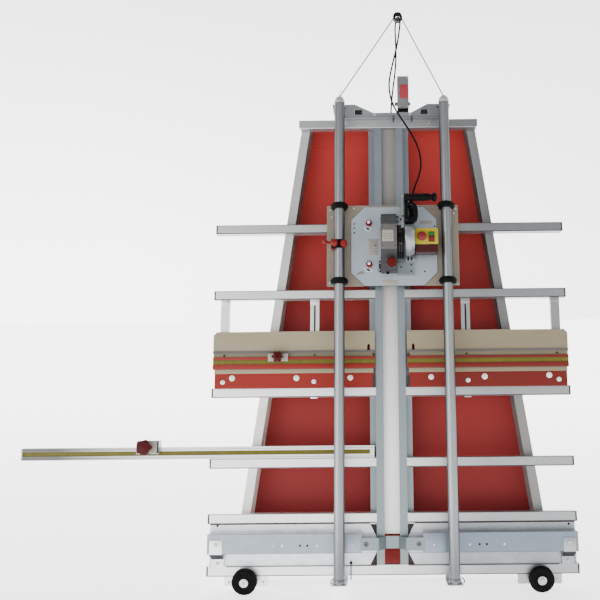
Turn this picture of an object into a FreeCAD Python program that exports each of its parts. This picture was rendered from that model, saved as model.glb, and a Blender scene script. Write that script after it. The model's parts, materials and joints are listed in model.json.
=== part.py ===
"""Vertical panel saw: a leaning steel frame with two guide tubes, a counterbalanced saw carriage,
a turntable that sets the blade upright or level, a mid-fence, a ruler bar and a folding rear stand.

Frame parts are drawn in the frame's own axes: x to the right, front (towards the user) measured
from the plane on which a sheet rests, z up along the frame from its lower edge. They are then
leaned back onto the floor. Wheels and stand are drawn upright in the ground's axes.
"""
import FreeCAD
import Part
import math
import os
from collections import namedtuple
from types import SimpleNamespace

import Sketcher

Vector = FreeCAD.Vector
doc = FreeCAD.newDocument("PanelSaw")
dims = doc.addObject("Spreadsheet::Sheet", "dims")

SIZES = {
    # frame
    "lean_angle": 12, "front_height": 60.5, "bar_side": 40, "bar_wall": 2.5, "bar_corner": 4,
    "cap_plate": 3, "rail_half": 762, "crossbar_half": 402, "crossbar_z": 1922,
    "ledge_rail_z": 206, "low_rail_z": 429.3, "fence_rail_z": 722.4, "mid_rail_z": 1142.5,
    "high_rail_z": 1436.8, "opening_half": 32, "channel_half": 64, "flange_half": 90,
    "channel_sheet": 2, "lip_depth": 20, "strip_foot_z": 160, "leg_width": 38.1, "leg_depth": 101.6,
    "leg_wall": 2.5, "leg_foot_x": 647, "leg_head_x": 370.6, "panel_sheet": 2, "panel_foot_z": 6,
    # guide tubes, top bracket and feet
    "guide_radius": 22.225, "guide_wall": 3, "guide_left_x": -212.6, "guide_right_x": 244.6,
    "guide_front": 92, "guide_foot_z": -15, "guide_head_z": 2005, "dome_height": 28,
    "bracket_sheet": 2.5, "bracket_front": 20, "spacer_radius": 11, "spacer_z": 1996,
    "foot_plate": 4, "foot_half": 31, "seat_gap": 0.3,
    # cord hanger and junction box
    "rod_radius": 2.5, "clamp_radius": 20, "clamp_bore": 14, "clamp_x": 47, "clamp_z": 2405,
    "box_x": 43, "box_width": 52, "box_z": 2020, "box_height": 156, "box_back": -62,
    "box_depth": 50, "cord_radius": 3.75,
    # ledge
    "sheet_metal": 2, "flat_back": -7, "band_front": 42, "band_top": 172, "band_foot": 94,
    "ledge_half": 752, "band_inner": 125, "strap_z": 104, "strap_height": 49, "strap_half": 128,
    "strap_sheet": 3, "strap_dip": -9, "strap_waist": 29,
    # mid-fence
    "post_width": 38, "post_depth": 20, "outer_post_x": 712, "inner_post_x": 325,
    "face_gap": 1.6, "face_height": 76, "track_height": 77, "board_height": 83, "board_thick": 25,
    "fence_inset": 8.5, "notch_width": 21,
    "fence_gap_left": -66, "fence_gap_right": 70, "track_depth": 29,
    "strip_height": 19, "face_thick": 17,
    # ruler bar
    "ruler_reach": 1553, "ruler_end": 66, "ruler_height": 50, "ruler_thick": 24, "stop_clear": 0.3,
    # carriage and turntable
    "carriage_left": -269, "carriage_right": 298, "carriage_foot": 1188, "carriage_height": 355,
    "carriage_back": 46, "carriage_thick": 9, "pivot_x": 20, "pivot_rise": 173, "pivot_hole": 118,
    "table_half": 184, "table_rise": 173, "table_chamfer": 57, "table_back": 56, "table_thick": 4,
    "ring_radius": 35, "ring_height": 24, "ring_inset": 2, "lock_height": 36,
    "slide_clear": 0.3, "running_clear": 0.05,
    # saw
    "blade_radius": 101.6, "blade_thick": 2.4, "blade_front": 98, "blade_rise": 17,
    "arbor_radius": 7.9, "guard_left": -36, "guard_right": 31, "guard_front": 210, "guard_wall": 2.5,
    "tooth_count": 30, "tooth_depth": 7, "motor_radius": 66, "motor_front": 130, "motor_rise": 9,
    "motor_end": 105, "switch_left": 108, "switch_right": 202, "switch_drop": 49, "switch_height": 101,
    "switch_back": 92, "switch_front": 150, "button_radius": 8.5, "emergency_radius": 17.5,
    "depth_knob_radius": 21, "pin_radius": 4, "pin_knob": 11,
    # wheels and rear stand
    "wheel_radius": 50.8, "wheel_width": 32, "hub_radius": 17, "wheel_x": 600, "wheel_front": 11.6,
    "axle_radius": 8, "bracket_half": 90, "bracket_foot_z": 17, "bracket_back": -6,
    "beam_half": 492, "beam_z": 1230, "hinge_back": 206, "stand_x": 420, "stand_side": 30,
    "stand_foot_y": 760, "hinge_pin": 6, "lug_sheet": 4, "foot_pad": 12,
    # counterbalance
    "weight_radius": 18.9, "weight_length": 425, "weight_foot_z": 400,
}
for row, (alias, amount) in enumerate(SIZES.items(), start=1):
    dims.set("A%d" % row, str(amount))
    dims.setAlias("A%d" % row, alias)
doc.recompute()


class Dim:
    """A length known both as a number and as an expression over the sheet."""

    def __init__(self, number, text):
        self.number = float(number)
        self.text = text

    def __add__(self, other):
        other = dim(other)
        return Dim(self.number + other.number, "(%s + %s)" % (self.text, other.text))

    def __sub__(self, other):
        other = dim(other)
        return Dim(self.number - other.number, "(%s - %s)" % (self.text, other.text))

    def __mul__(self, other):
        other = dim(other)
        return Dim(self.number * other.number, "(%s * %s)" % (self.text, other.text))

    def __truediv__(self, other):
        other = dim(other)
        return Dim(self.number / other.number, "(%s / %s)" % (self.text, other.text))

    def __radd__(self, other):
        return dim(other) + self

    def __rsub__(self, other):
        return dim(other) - self

    def __rmul__(self, other):
        return dim(other) * self

    def __neg__(self):
        return Dim(-self.number, "(0 - %s)" % self.text)


def dim(thing):
    """The same length as a Dim, whether it came as one or as a plain number."""
    if isinstance(thing, Dim):
        return thing
    return Dim(thing, "(%.6f)" % thing)


def tangent(angle):
    return Dim(math.tan(math.radians(angle.number)), "tan(%s)" % angle.text)


d = SimpleNamespace(**{alias: Dim(amount, "dims." + alias) for alias, amount in SIZES.items()})
FACE_Z = d.fence_rail_z + d.bar_side + d.face_gap
TRACK_Z = FACE_Z + d.face_height
BOARD_Z = TRACK_Z + d.track_height
RULER_Z = d.low_rail_z + d.bar_side
PX = d.pivot_x
PZ = d.carriage_foot + d.pivot_rise
BLADE_Z = PZ + d.blade_rise
MOTOR_Z = PZ + d.motor_rise
RING_LOW_Z = d.carriage_foot + d.ring_inset
RING_HIGH_Z = d.carriage_foot + d.carriage_height - d.ring_height - d.ring_inset
SWITCH_Z = PZ - d.switch_drop
Circle = namedtuple("Circle", "x y radius")
NODES = []


def bind(thing, prop, length):
    thing.setExpression(prop, dim(length).text)


def body(name, leans=True):
    """A new sub-part, drawn in the frame's axes or, if it doesn't lean, in the ground's."""
    made = doc.addObject("PartDesign::Body", name)
    made.Label = name
    NODES.append((made, leans))
    return made


def outline(owner, plane, loops, at=(0, 0, 0)):
    """A sketch of closed polygons and circles on one of the body's planes."""
    made = owner.newObject("Sketcher::SketchObject", owner.Name + "_outline")
    support = [item for item in owner.Origin.OriginFeatures if item.Role == plane + "_Plane"][0]
    made.AttachmentSupport = (support, [""])
    made.MapMode = "FlatFace"
    for letter, length in zip("xyz", at):
        bind(made, "AttachmentOffset.Base." + letter, length)
    for loop in loops:
        if isinstance(loop, Circle):
            middle = Vector(dim(loop.x).number, dim(loop.y).number, 0)
            index = made.addGeometry(Part.Circle(middle, Vector(0, 0, 1), dim(loop.radius).number))
            pin_down(made, index, 3, loop.x, loop.y)
            rule = made.addConstraint(Sketcher.Constraint("Radius", index, dim(loop.radius).number))
            bind(made, "Constraints[%d]" % rule, loop.radius)
            continue
        corners = [Vector(dim(x).number, dim(y).number, 0) for x, y in loop]
        lines = []
        for start, end in zip(corners, corners[1:] + corners[:1]):
            lines.append(made.addGeometry(Part.LineSegment(start, end)))
        for line, following in zip(lines, lines[1:] + lines[:1]):
            made.addConstraint(Sketcher.Constraint("Coincident", line, 2, following, 1))
        for line, (x, y) in zip(lines, loop):
            pin_down(made, line, 1, x, y)
    return made


def pin_down(drawing, line, end, x, y):
    """Hold one point of a sketch at a bound distance from the sketch's origin."""
    for kind, length in (("DistanceX", x), ("DistanceY", y)):
        rule = drawing.addConstraint(Sketcher.Constraint(kind, -1, 1, line, end, dim(length).number))
        bind(drawing, "Constraints[%d]" % rule, length)


def pad(owner, plane, loops, start, length):
    """Raise loops from a plane: XZ pads grow to the front, YZ pads to the right, XY pads upwards."""
    made = owner.newObject("PartDesign::Pad", owner.Name + "_pad")
    made.Profile = outline(owner, plane, loops, (0, 0, start))
    bind(made, "Length", length)
    return made


def cut(owner, plane, loops, start, depth):
    """Sink loops into what is there: XZ cuts run backwards, YZ cuts to the left, XY cuts down."""
    made = owner.newObject("PartDesign::Pocket", owner.Name + "_cut")
    made.Profile = outline(owner, plane, loops, (0, 0, start))
    bind(made, "Length", depth)
    return made


def turn(owner, axis, x, front, z, profile, sink=False):
    """Turn a profile of (radius, distance along the axis) about the axis through one point.

    Distances run to the right on x, to the front on y and upwards on z.
    """
    if axis == "x":
        drawing = outline(owner, "XZ", [[(along, radius) for radius, along in profile]], (x, z, front))
    elif axis == "y":
        drawing = outline(owner, "XY", [[(radius, -dim(along)) for radius, along in profile]],
                          (x, -dim(front), z))
    else:
        drawing = outline(owner, "XZ", [list(profile)], (x, z, front))
    kind = "Groove" if sink else "Revolution"
    made = owner.newObject("PartDesign::" + kind, owner.Name + "_turned")
    made.Profile = drawing
    made.ReferenceAxis = (drawing, ["H_Axis" if axis == "x" else "V_Axis"])
    made.Angle = 360
    return made


def box(left, right, low, high):
    """A rectangle's corners."""
    return [(left, low), (right, low), (right, high), (left, high)]


def soften(owner, radius, picked, kind="Fillet"):
    """Round or chamfer the straight edges that picked(direction, middle, bounds) chooses."""
    doc.recompute()
    base = owner.Tip
    names = []
    for index, edge in enumerate(base.Shape.Edges, start=1):
        if isinstance(edge.Curve, Part.Line):
            direction = edge.tangentAt(edge.FirstParameter)
            if picked(direction, edge.CenterOfMass, base.Shape.BoundBox):
                names.append("Edge%d" % index)
    made = owner.newObject("PartDesign::" + kind, owner.Name + "_softened")
    made.Base = (base, names)
    bind(made, "Radius" if kind == "Fillet" else "Size", radius)
    return made


def outer_corners(direction, middle, bounds):
    """Edges along x on the outside corners of a bar."""
    on_y = min(abs(middle.y - bounds.YMin), abs(middle.y - bounds.YMax)) < 0.01
    on_z = min(abs(middle.z - bounds.ZMin), abs(middle.z - bounds.ZMax)) < 0.01
    return abs(direction.x) > 0.99 and on_y and on_z


def square_bar(owner, start, length, front, low):
    """A run of square tube along x with its front face and underside given."""
    wall = d.bar_wall
    back = -dim(front)
    outside = box(back, back + d.bar_side, low, low + d.bar_side)
    inside = box(back + wall, back + d.bar_side - wall, low + wall, low + d.bar_side - wall)
    return pad(owner, "YZ", [outside, inside], start, length)


# ---------------------------------------------------------------- frame

def leg(name, side):
    made = body(name)
    foot = d.leg_foot_x
    head = d.leg_head_x
    half = d.leg_width / 2
    top = d.crossbar_z + d.bar_side

    def slanted(inset, low, high):
        slope = (foot - head) / top
        reach = half - inset
        return [(side * (foot - slope * low - reach), low), (side * (foot - slope * low + reach), low),
                (side * (foot - slope * high + reach), high), (side * (foot - slope * high - reach), high)]

    back = -d.bar_side - d.leg_depth
    pad(made, "XZ", [slanted(0, dim(8), top)], back, d.leg_depth)
    cut(made, "XZ", [slanted(d.leg_wall, dim(-10), top + 20)], -d.bar_side - d.leg_wall,
        d.leg_depth - 2 * d.leg_wall)


leg("leg_left", -1)
leg("leg_right", 1)

crossbar = body("crossbar")
square_bar(crossbar, -d.crossbar_half, 2 * d.crossbar_half, 0, d.crossbar_z)
soften(crossbar, d.bar_corner, outer_corners)
for side in (-1, 1):
    end = side * d.crossbar_half
    cut(crossbar, "XZ", [[(end - side * 9, d.crossbar_z - 1), (end + side, d.crossbar_z - 1),
                          (end + side, d.crossbar_z + 9), (end - side * 3, d.crossbar_z + 3)]], 1,
        d.bar_side + 2)
RAIL_RUN = d.rail_half - d.cap_plate - d.channel_half
RAILS = {
    "upper_rails": [d.high_rail_z, d.mid_rail_z], "fence_rail": [d.fence_rail_z],
    "low_rail": [d.low_rail_z], "ledge_rail": [d.ledge_rail_z],
}
for name, heights in RAILS.items():
    rail = body(name)
    for height in heights:
        square_bar(rail, d.cap_plate - d.rail_half, RAIL_RUN, 0, height)
        square_bar(rail, d.channel_half, RAIL_RUN, 0, height)
bottom_rail = body("bottom_rail")
square_bar(bottom_rail, d.cap_plate - d.rail_half, 2 * (d.rail_half - d.cap_plate), 0, 0)

caps = body("rail_end_caps")
for height in [dim(0)] + [height for heights in RAILS.values() for height in heights]:
    pad(caps, "YZ", [box(0.5, d.bar_side - 0.5, height + 0.5, height + d.bar_side - 0.5)],
        d.rail_half - d.cap_plate, d.cap_plate)
    pad(caps, "YZ", [box(0.5, d.bar_side - 0.5, height + 0.5, height + d.bar_side - 0.5)],
        -d.rail_half, d.cap_plate)

for name, side in (("column_left", -1), ("column_right", 1)):
    column = body(name)
    sheet = d.channel_sheet
    inner = d.opening_half
    wall = d.channel_half
    section = [(side * inner, d.lip_depth), (side * inner, 0), (side * wall, 0),
               (side * wall, d.bar_side), (side * d.flange_half, d.bar_side),
               (side * d.flange_half, d.bar_side + sheet), (side * (wall - sheet), d.bar_side + sheet),
               (side * (wall - sheet), sheet), (side * (inner + sheet), sheet),
               (side * (inner + sheet), d.lip_depth)]
    pad(column, "XY", [section], d.bar_side, d.crossbar_z - d.bar_side)

strip = body("backing_strip")
pad(strip, "XY", [box(2 + d.channel_sheet - d.channel_half, d.channel_half - d.channel_sheet - 2,
                      d.lip_depth, d.lip_depth + d.panel_sheet)],
    d.strip_foot_z, d.crossbar_z - d.strip_foot_z)

panel = body("rear_panel")
SLOPE = (d.leg_foot_x - d.leg_head_x) / (d.crossbar_z + d.bar_side)
PANEL_LOW = d.leg_foot_x + d.leg_width / 2 - SLOPE * d.panel_foot_z
PANEL_HIGH = d.leg_foot_x + d.leg_width / 2 - SLOPE * d.crossbar_z
pad(panel, "XZ", [[(-PANEL_LOW, d.panel_foot_z), (PANEL_LOW, d.panel_foot_z),
                   (PANEL_HIGH, d.crossbar_z), (-PANEL_HIGH, d.crossbar_z)]],
    -d.bar_side - d.leg_depth - d.panel_sheet, d.panel_sheet)

# ---------------------------------------------------------------- ledge

ledge = body("ledge")
for side in (-1, 1):
    sheet = d.sheet_metal
    back = -d.flat_back
    front = -d.band_front
    hat = [(back, d.ledge_rail_z), (back - sheet, d.ledge_rail_z), (back - sheet, d.band_top),
           (front, d.band_top), (front, d.band_foot), (back - sheet, d.band_foot),
           (back - sheet, d.bar_side), (back, d.bar_side), (back, d.band_foot + sheet),
           (front + sheet, d.band_foot + sheet), (front + sheet, d.band_top - sheet),
           (back, d.band_top - sheet)]
    start = d.channel_half if side > 0 else -d.ledge_half
    pad(ledge, "YZ", [hat], start, d.ledge_half - d.channel_half)
inner = d.band_inner
cut(ledge, "XZ", [box(-inner, inner, d.band_foot - 1, d.band_top + 1)], d.band_front + 1,
    d.band_front - d.flat_back - 2 * d.sheet_metal + 12)
for side in (-1, 1):
    near = side * (d.channel_half - 1)
    far = side * (d.channel_half + 28)
    cut(ledge, "XZ", [[(near, d.ledge_rail_z - 5), (far, d.ledge_rail_z - 5), (near,
                      d.band_top - 22)]], 0, 12)
    cut(ledge, "XZ", [[(near, d.band_foot), (far, d.bar_side - 1), (near, d.bar_side - 1)]], 0, 12)

strap = body("link_strap")
STRAP = [(d.strap_half, -d.band_front), (58, -d.band_front), (d.strap_waist + 2.5, -3),
         (d.strap_waist, -d.strap_dip - d.strap_sheet), (-d.strap_waist, -d.strap_dip - d.strap_sheet),
         (-d.strap_waist - 2.5, -3), (-58, -d.band_front), (-d.strap_half, -d.band_front),
         (-d.strap_half, -d.band_front - d.strap_sheet), (-56, -d.band_front - d.strap_sheet),
         (-d.strap_waist + 1, -4), (-d.strap_waist + 3, -d.strap_dip - 2 * d.strap_sheet),
         (d.strap_waist - 3, -d.strap_dip - 2 * d.strap_sheet), (d.strap_waist - 1, -4),
         (56, -d.band_front - d.strap_sheet), (d.strap_half, -d.band_front - d.strap_sheet)]
pad(strap, "XY", [STRAP], d.strap_z, d.strap_height)

clips = body("end_brackets")
for side in (-1, 1):
    front = -d.band_front
    start = side * (d.ledge_half - 36) - 25
    profile = [(front, d.band_top - 25), (front - 2, d.band_top - 25), (front - 2, d.band_foot - 1),
               (-2, d.bar_side + 28), (-2, d.bar_side - 5), (0, d.bar_side - 5), (0, d.bar_side + 29.5),
               (front, d.band_foot)]
    pad(clips, "YZ", [profile], start, 50)

# ---------------------------------------------------------------- guide tubes and top bracket

def guide_tube(name, middle):
    made = body(name)
    pad(made, "XY", [Circle(middle, -d.guide_front, d.guide_radius),
                     Circle(middle, -d.guide_front, d.guide_radius - d.guide_wall)],
        d.guide_foot_z, d.guide_head_z - d.guide_foot_z)


guide_tube("guide_tube_left", d.guide_left_x)
guide_tube("guide_tube_right", d.guide_right_x)

tube_caps = body("tube_caps")
for middle in (d.guide_left_x, d.guide_right_x):
    radius = d.guide_radius
    turn(tube_caps, "z", middle, d.guide_front, d.guide_head_z,
         [(0, 0), (radius, 0), (radius * 0.98, 6), (radius * 0.82, 15), (radius * 0.5, 23),
          (0, d.dome_height - 2)])

bracket = body("top_bracket")
BOW = [(-240, 1962.7), (-249.5, 2024.6), (-148, 2024.6), (-67, 1984.5), (103.5, 1984.5),
       (176, 2024.6), (279.4, 2024.6), (266.7, 1962.7)]
pad(bracket, "XZ", [BOW], d.bracket_front, d.bracket_sheet)
pad(bracket, "XY", [box(-200, 230, -d.bracket_front - 0.5, d.bar_side - 5)],
    d.crossbar_z + d.bar_side, d.bracket_sheet)
for middle in (d.guide_left_x, d.guide_right_x):
    tip = d.guide_front - d.guide_radius - d.seat_gap
    pad(bracket, "XZ", [Circle(middle, d.spacer_z, d.spacer_radius)], d.bracket_front,
        tip - d.bracket_front)
for left, right in ((-150.5, -114.6), (146, 180)):
    cut(bracket, "XZ", [box(left, right, 1976, 1998)], d.bracket_front + d.bracket_sheet + 1,
        d.bracket_sheet + 2)

feet = body("tube_feet")
for middle in (d.guide_left_x, d.guide_right_x):
    plate = d.foot_plate
    reach = -d.guide_front - d.guide_radius - 3
    profile = [(0, d.bar_side - 4), (-plate, d.bar_side - 4), (-plate, d.guide_foot_z),
               (reach, d.guide_foot_z), (reach, d.guide_foot_z - plate), (0, d.guide_foot_z - plate)]
    pad(feet, "YZ", [profile], middle - d.foot_half, 2 * d.foot_half)

# ---------------------------------------------------------------- cord hanger and junction box

hanger = body("cord_hanger")


def rod(owner, start, end, radius):
    """A round rod between two points, as a pipe along a straight sketch line."""
    path = outline_line(owner, start, end)
    profile = owner.newObject("Sketcher::SketchObject", owner.Name + "_section")
    profile.AttachmentSupport = (path, ["Edge1"])
    profile.MapMode = "NormalToEdge"
    index = profile.addGeometry(Part.Circle(Vector(0, 0, 0), Vector(0, 0, 1), dim(radius).number))
    pin_down(profile, index, 3, 0, 0)
    rule = profile.addConstraint(Sketcher.Constraint("Radius", index, dim(radius).number))
    bind(profile, "Constraints[%d]" % rule, radius)
    made = owner.newObject("PartDesign::AdditivePipe", owner.Name + "_rod")
    made.Profile = profile
    made.Spine = (path, ["Edge1"])
    return made


def outline_line(owner, start, end):
    """A sketch of one line in the plane through the guide tubes' axes."""
    made = owner.newObject("Sketcher::SketchObject", owner.Name + "_line")
    support = [item for item in owner.Origin.OriginFeatures if item.Role == "XZ_Plane"][0]
    made.AttachmentSupport = (support, [""])
    made.MapMode = "FlatFace"
    bind(made, "AttachmentOffset.Base.z", d.guide_front)
    points = [Vector(dim(x).number, dim(z).number, 0) for x, z in (start, end)]
    line = made.addGeometry(Part.LineSegment(points[0], points[1]))
    pin_down(made, line, 1, start[0], start[1])
    pin_down(made, line, 2, end[0], end[1])
    return made


DOME = d.guide_head_z + d.dome_height - 1.5
rod(hanger, (d.guide_left_x + 2, DOME), (d.clamp_x - 17, d.clamp_z - 3), d.rod_radius)
rod(hanger, (d.guide_right_x - 2, DOME), (d.clamp_x + 17, d.clamp_z - 3), d.rod_radius)
pad(hanger, "XZ", [Circle(d.clamp_x, d.clamp_z, d.clamp_radius),
                  Circle(d.clamp_x, d.clamp_z, d.clamp_bore)], d.guide_front - 12, 24)

junction = body("junction_box")
pad(junction, "XZ", [box(d.box_x, d.box_x + d.box_width, d.box_z, d.box_z + d.box_height)],
    d.box_back, d.box_depth)
soften(junction, 3, lambda way, middle, bounds: abs(way.y) > 0.99)
pad(junction, "XY", [box(d.box_x + 6, d.box_x + d.box_width - 6, 14, 37)],
    d.crossbar_z + d.bar_side + d.bracket_sheet, d.box_z - d.crossbar_z - d.bar_side - d.bracket_sheet)

# ---------------------------------------------------------------- cord

# The route as (x, front, z): from the handle up to the hanger, down behind the bracket, and a
# slack loop behind the column that ends at the junction box's gland.
ROUTE = [(93, 150, 1526), (103, 150, 1582), (128, 150, 1640), (140, 150, 1700), (129, 150, 1764),
         (102, 150, 1828), (58, 149, 1898), (16, 148, 1970), (2, 148, 2055), (18, 149, 2140),
         (40, 150, 2225), (52, 152, 2300), (58, 142, 2362), (50, 104, 2400), (42, 66, 2417),
         (36, 32, 2400), (37, 18, 2350), (40, 13, 2270), (35, 10, 2190), (24, 6, 2110), (16, 0, 2040),
         (13, -28, 1992), (11, -64, 1940), (4, -72, 1860), (-4, -74, 1770), (-9, -76, 1680),
         (-12, -78, 1590), (-11, -80, 1520), (-9, -81, 1470), (-8, -82, 1422.6), (16.6, -83, 1398),
         (51.4, -83, 1398), (76, -82, 1422.6), (77, -81, 1470), (76, -80, 1520), (75, -80, 1590), (74,
         -78, 1680), (71, -74, 1770), (69, -68, 1860),
         (68, -58, 1950), (69, -50, 2020)]


def rounded_route(points):
    """The route's straight runs joined by tangent arcs, with the smallest radius used."""
    corners = [Vector(x, -front, z) for x, front, z in points]
    pieces = []
    radii = []
    last = corners[0]
    for before, corner, after in zip(corners, corners[1:], corners[2:]):
        entering = (corner - before).normalize()
        leaving = (after - corner).normalize()
        half = entering.getAngle(leaving) / 2
        back = 0.45 * min((corner - before).Length, (after - corner).Length)
        radii.append(back / math.tan(half))
        start = corner - entering * back
        end = corner + leaving * back
        bisector = (leaving - entering).normalize()
        middle = corner + bisector * (radii[-1] / math.cos(half) - radii[-1])
        pieces.append(Part.LineSegment(last, start).toShape())
        pieces.append(Part.Arc(start, middle, end).toShape())
        last = end
    pieces.append(Part.LineSegment(last, corners[-1]).toShape())
    print("bends", " ".join("%.0f" % radius for radius in radii))
    return Part.Wire(pieces), min(radii)


ROUTE_WIRE, TIGHTEST = rounded_route(ROUTE)
first = ROUTE_WIRE.Edges[0]
ring = Part.Circle(first.Vertexes[0].Point, first.tangentAt(first.FirstParameter), d.cord_radius.number)
cord = doc.addObject("Part::Feature", "power_cord")
cord.Label = "power_cord"
cord.Shape = ROUTE_WIRE.makePipeShell([Part.Wire(ring.toShape())], True, False)
NODES.append((cord, True))
print("cord length %.0f, tightest bend %.0f, volume %.2f of %.2f cm3" % (
    ROUTE_WIRE.Length, TIGHTEST, cord.Shape.Volume / 1000,
    math.pi * d.cord_radius.number ** 2 * ROUTE_WIRE.Length / 1000))

# ---------------------------------------------------------------- mid-fence

posts = body("fence_posts")
POST_FOOT = d.fence_rail_z + d.bar_side
for middle in (-d.outer_post_x, -d.inner_post_x, d.inner_post_x, d.outer_post_x):
    pad(posts, "XZ", [box(middle - d.post_width / 2, middle + d.post_width / 2, POST_FOOT,
                          d.mid_rail_z)], -d.post_depth, d.post_depth)
for side in (-1, 1):
    cut(posts, "XZ", [box(side * d.inner_post_x - 4, side * d.inner_post_x + 4,
                          BOARD_Z + d.board_height + 18, d.mid_rail_z - 47)], 1,
        d.post_depth + 2)

boards = body("fence_boards")
track = body("fence_track")
faces = body("fence_faces")
FENCE_END = d.rail_half - d.fence_inset
for left, right, side in ((-FENCE_END, d.fence_gap_left, -1), (d.fence_gap_right, FENCE_END, 1)):
    low = BOARD_Z
    high = BOARD_Z + d.board_height
    inner = left if side > 0 else right
    outer = right if side > 0 else left
    pad(boards, "XZ", [[(inner, low), (outer, low), (outer, high - 14), (outer - side * 14, high),
                        (inner, high)]], 0, d.board_thick)
    slot = inner + side * d.notch_width
    cut(boards, "XZ", [[(slot, low - 1), (slot + side * 12, low - 1), (slot + side * 12, low + 22),
                        (slot + side * 6, low + 28), (slot, low + 22)]], d.board_thick + 1, d.board_thick + 2)
    low = TRACK_Z
    high = BOARD_Z
    deep = -d.track_depth
    shape = [(0, low), (deep + 4, low), (deep, low + 4), (deep, low + 17), (deep + 4, low + 21),
             (deep + 4, low + 40), (deep, low + 40), (deep, low + 44), (deep + 10, low + 44),
             (deep + 10, low + 68), (deep, low + 68), (deep, high), (0, high)]
    pad(track, "YZ", [shape], left, right - left)
    low = FACE_Z
    middle = TRACK_Z - d.strip_height
    high = TRACK_Z
    deep = -d.face_thick
    shape = [(0, low), (deep + 2, low), (deep, low + 2), (deep, middle), (deep - 7, middle + 1.5),
             (deep - 7, high), (0, high)]
    pad(faces, "YZ", [shape], left + 7, right - left - 14)

# ---------------------------------------------------------------- ruler bar

ruler = body("ruler_bar")
pad(ruler, "XZ", [box(-d.ruler_reach, -d.ruler_end, RULER_Z, RULER_Z + d.ruler_height)],
    -d.ruler_thick, d.ruler_thick)
cut(ruler, "YZ", [box(-1, 4, RULER_Z + 16, RULER_Z + 34)], -d.ruler_end - 24,
    d.ruler_reach - d.ruler_end + 1)

# ---------------------------------------------------------------- stops


def stop(name, left, right, low, high, back, front, slot):
    """A block that hooks over a bar and slides along it."""
    made = body(name)
    pad(made, "XZ", [box(left, right, low, high)], back, front - dim(back))
    if slot:
        cut(made, "XZ", [box(left - 1, right + 1, slot[0], slot[1])], slot[2], slot[2] - slot[3])


def lobed_knob(name, middle, height, base, radius, lobes, stem):
    """A clamping knob with a stem, turning on a front-facing axis."""
    made = body(name)
    pad(made, "XZ", [Circle(middle, height, stem)], base, 10)
    pad(made, "XZ", [Circle(middle, height, radius * 0.72)], dim(base) + 10, 16)
    for index in range(lobes):
        angle = 2 * math.pi * index / lobes
        pad(made, "XZ", [Circle(middle + radius * 0.7 * math.cos(angle),
                                height + radius * 0.7 * math.sin(angle), radius * 0.3)],
            dim(base) + 11, 14)


TRACK_FRONT = d.track_depth
pad(body("fence_stop"), "XZ", [box(-518, -434, TRACK_Z + 33, TRACK_Z + 64)], TRACK_FRONT + d.stop_clear, 8)
lobed_knob("fence_stop_knob", dim(-476), TRACK_Z + 51, TRACK_FRONT + d.stop_clear + 8.3, dim(24), 6, 6)
stop_body = body("ruler_stop")
pad(stop_body, "XZ", [box(-1065, -972, RULER_Z + 23, RULER_Z + 78)], d.stop_clear, 14)
pad(stop_body, "XZ", [box(-1065, -972, RULER_Z + d.ruler_height + d.stop_clear, RULER_Z + 78)],
    -d.ruler_thick, d.ruler_thick + d.stop_clear)
lobed_knob("ruler_stop_knob", dim(-1028), RULER_Z + 51, 14.6 + d.stop_clear, dim(33), 5, 7)

# ---------------------------------------------------------------- carriage

carriage = body("carriage_board")
CARRIAGE_FRONT = d.carriage_back + d.carriage_thick
pad(carriage, "XZ", [box(d.carriage_left, d.carriage_right, d.carriage_foot,
                         d.carriage_foot + d.carriage_height), Circle(PX, PZ, d.pivot_hole)],
    d.carriage_back, d.carriage_thick)
soften(carriage, 6, lambda way, middle, bounds: abs(way.y) > 0.99)

rings = body("guide_rings")
for middle in (d.guide_left_x, d.guide_right_x):
    for height in (RING_LOW_Z, RING_HIGH_Z):
        pad(rings, "XY", [box(middle - 18, middle + 18, -d.guide_front, -CARRIAGE_FRONT)], height,
            d.ring_height)
        turn(rings, "z", middle, d.guide_front, height,
             [(0, 0), (d.ring_radius - 3, 0), (d.ring_radius, 3), (d.ring_radius, d.ring_height - 3),
              (d.ring_radius - 3, d.ring_height), (0, d.ring_height)])
for middle in (d.guide_left_x, d.guide_right_x):
    cut(rings, "XY", [Circle(middle, -d.guide_front, d.guide_radius + d.slide_clear)],
        RING_HIGH_Z + d.ring_height + 1, d.carriage_height + 10)

# the lock is a split collar: a back half on the board, two lobes in front and a lever on a screw
lock = body("lock_clamp")
LOCK_Z = PZ - d.lock_height / 2
LOCK_FRONT = d.guide_front + 30
pad(lock, "XY", [box(d.guide_left_x - 34, d.guide_left_x + 14, -LOCK_FRONT, -CARRIAGE_FRONT)],
    LOCK_Z, d.lock_height)
soften(lock, 6, lambda way, middle, bounds: abs(way.z) > 0.99 and middle.y < bounds.YMin + 1)
cut(lock, "XY", [Circle(d.guide_left_x, -d.guide_front, d.guide_radius + d.slide_clear)],
    LOCK_Z + d.lock_height + 1, d.lock_height + 2)
lever = body("lock_knob")
HUB_X = d.guide_left_x - 19.4
pad(lever, "XZ", [Circle(HUB_X, PZ - 1, 15)], LOCK_FRONT + d.seat_gap, 15)
pad(lever, "XZ", [[(HUB_X, PZ - 7), (HUB_X, PZ + 5), (HUB_X - 34, PZ + 7), (HUB_X - 34, PZ - 2)]],
    LOCK_FRONT + 4, 7)
turn(lever, "y", HUB_X - 39, LOCK_FRONT + 7.5, PZ + 3,
     [(0, -12), (6, -10.4), (10.4, -6), (12, 0), (10.4, 6), (6, 10.4), (0, 12)])

# ---------------------------------------------------------------- turntable and saw

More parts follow.
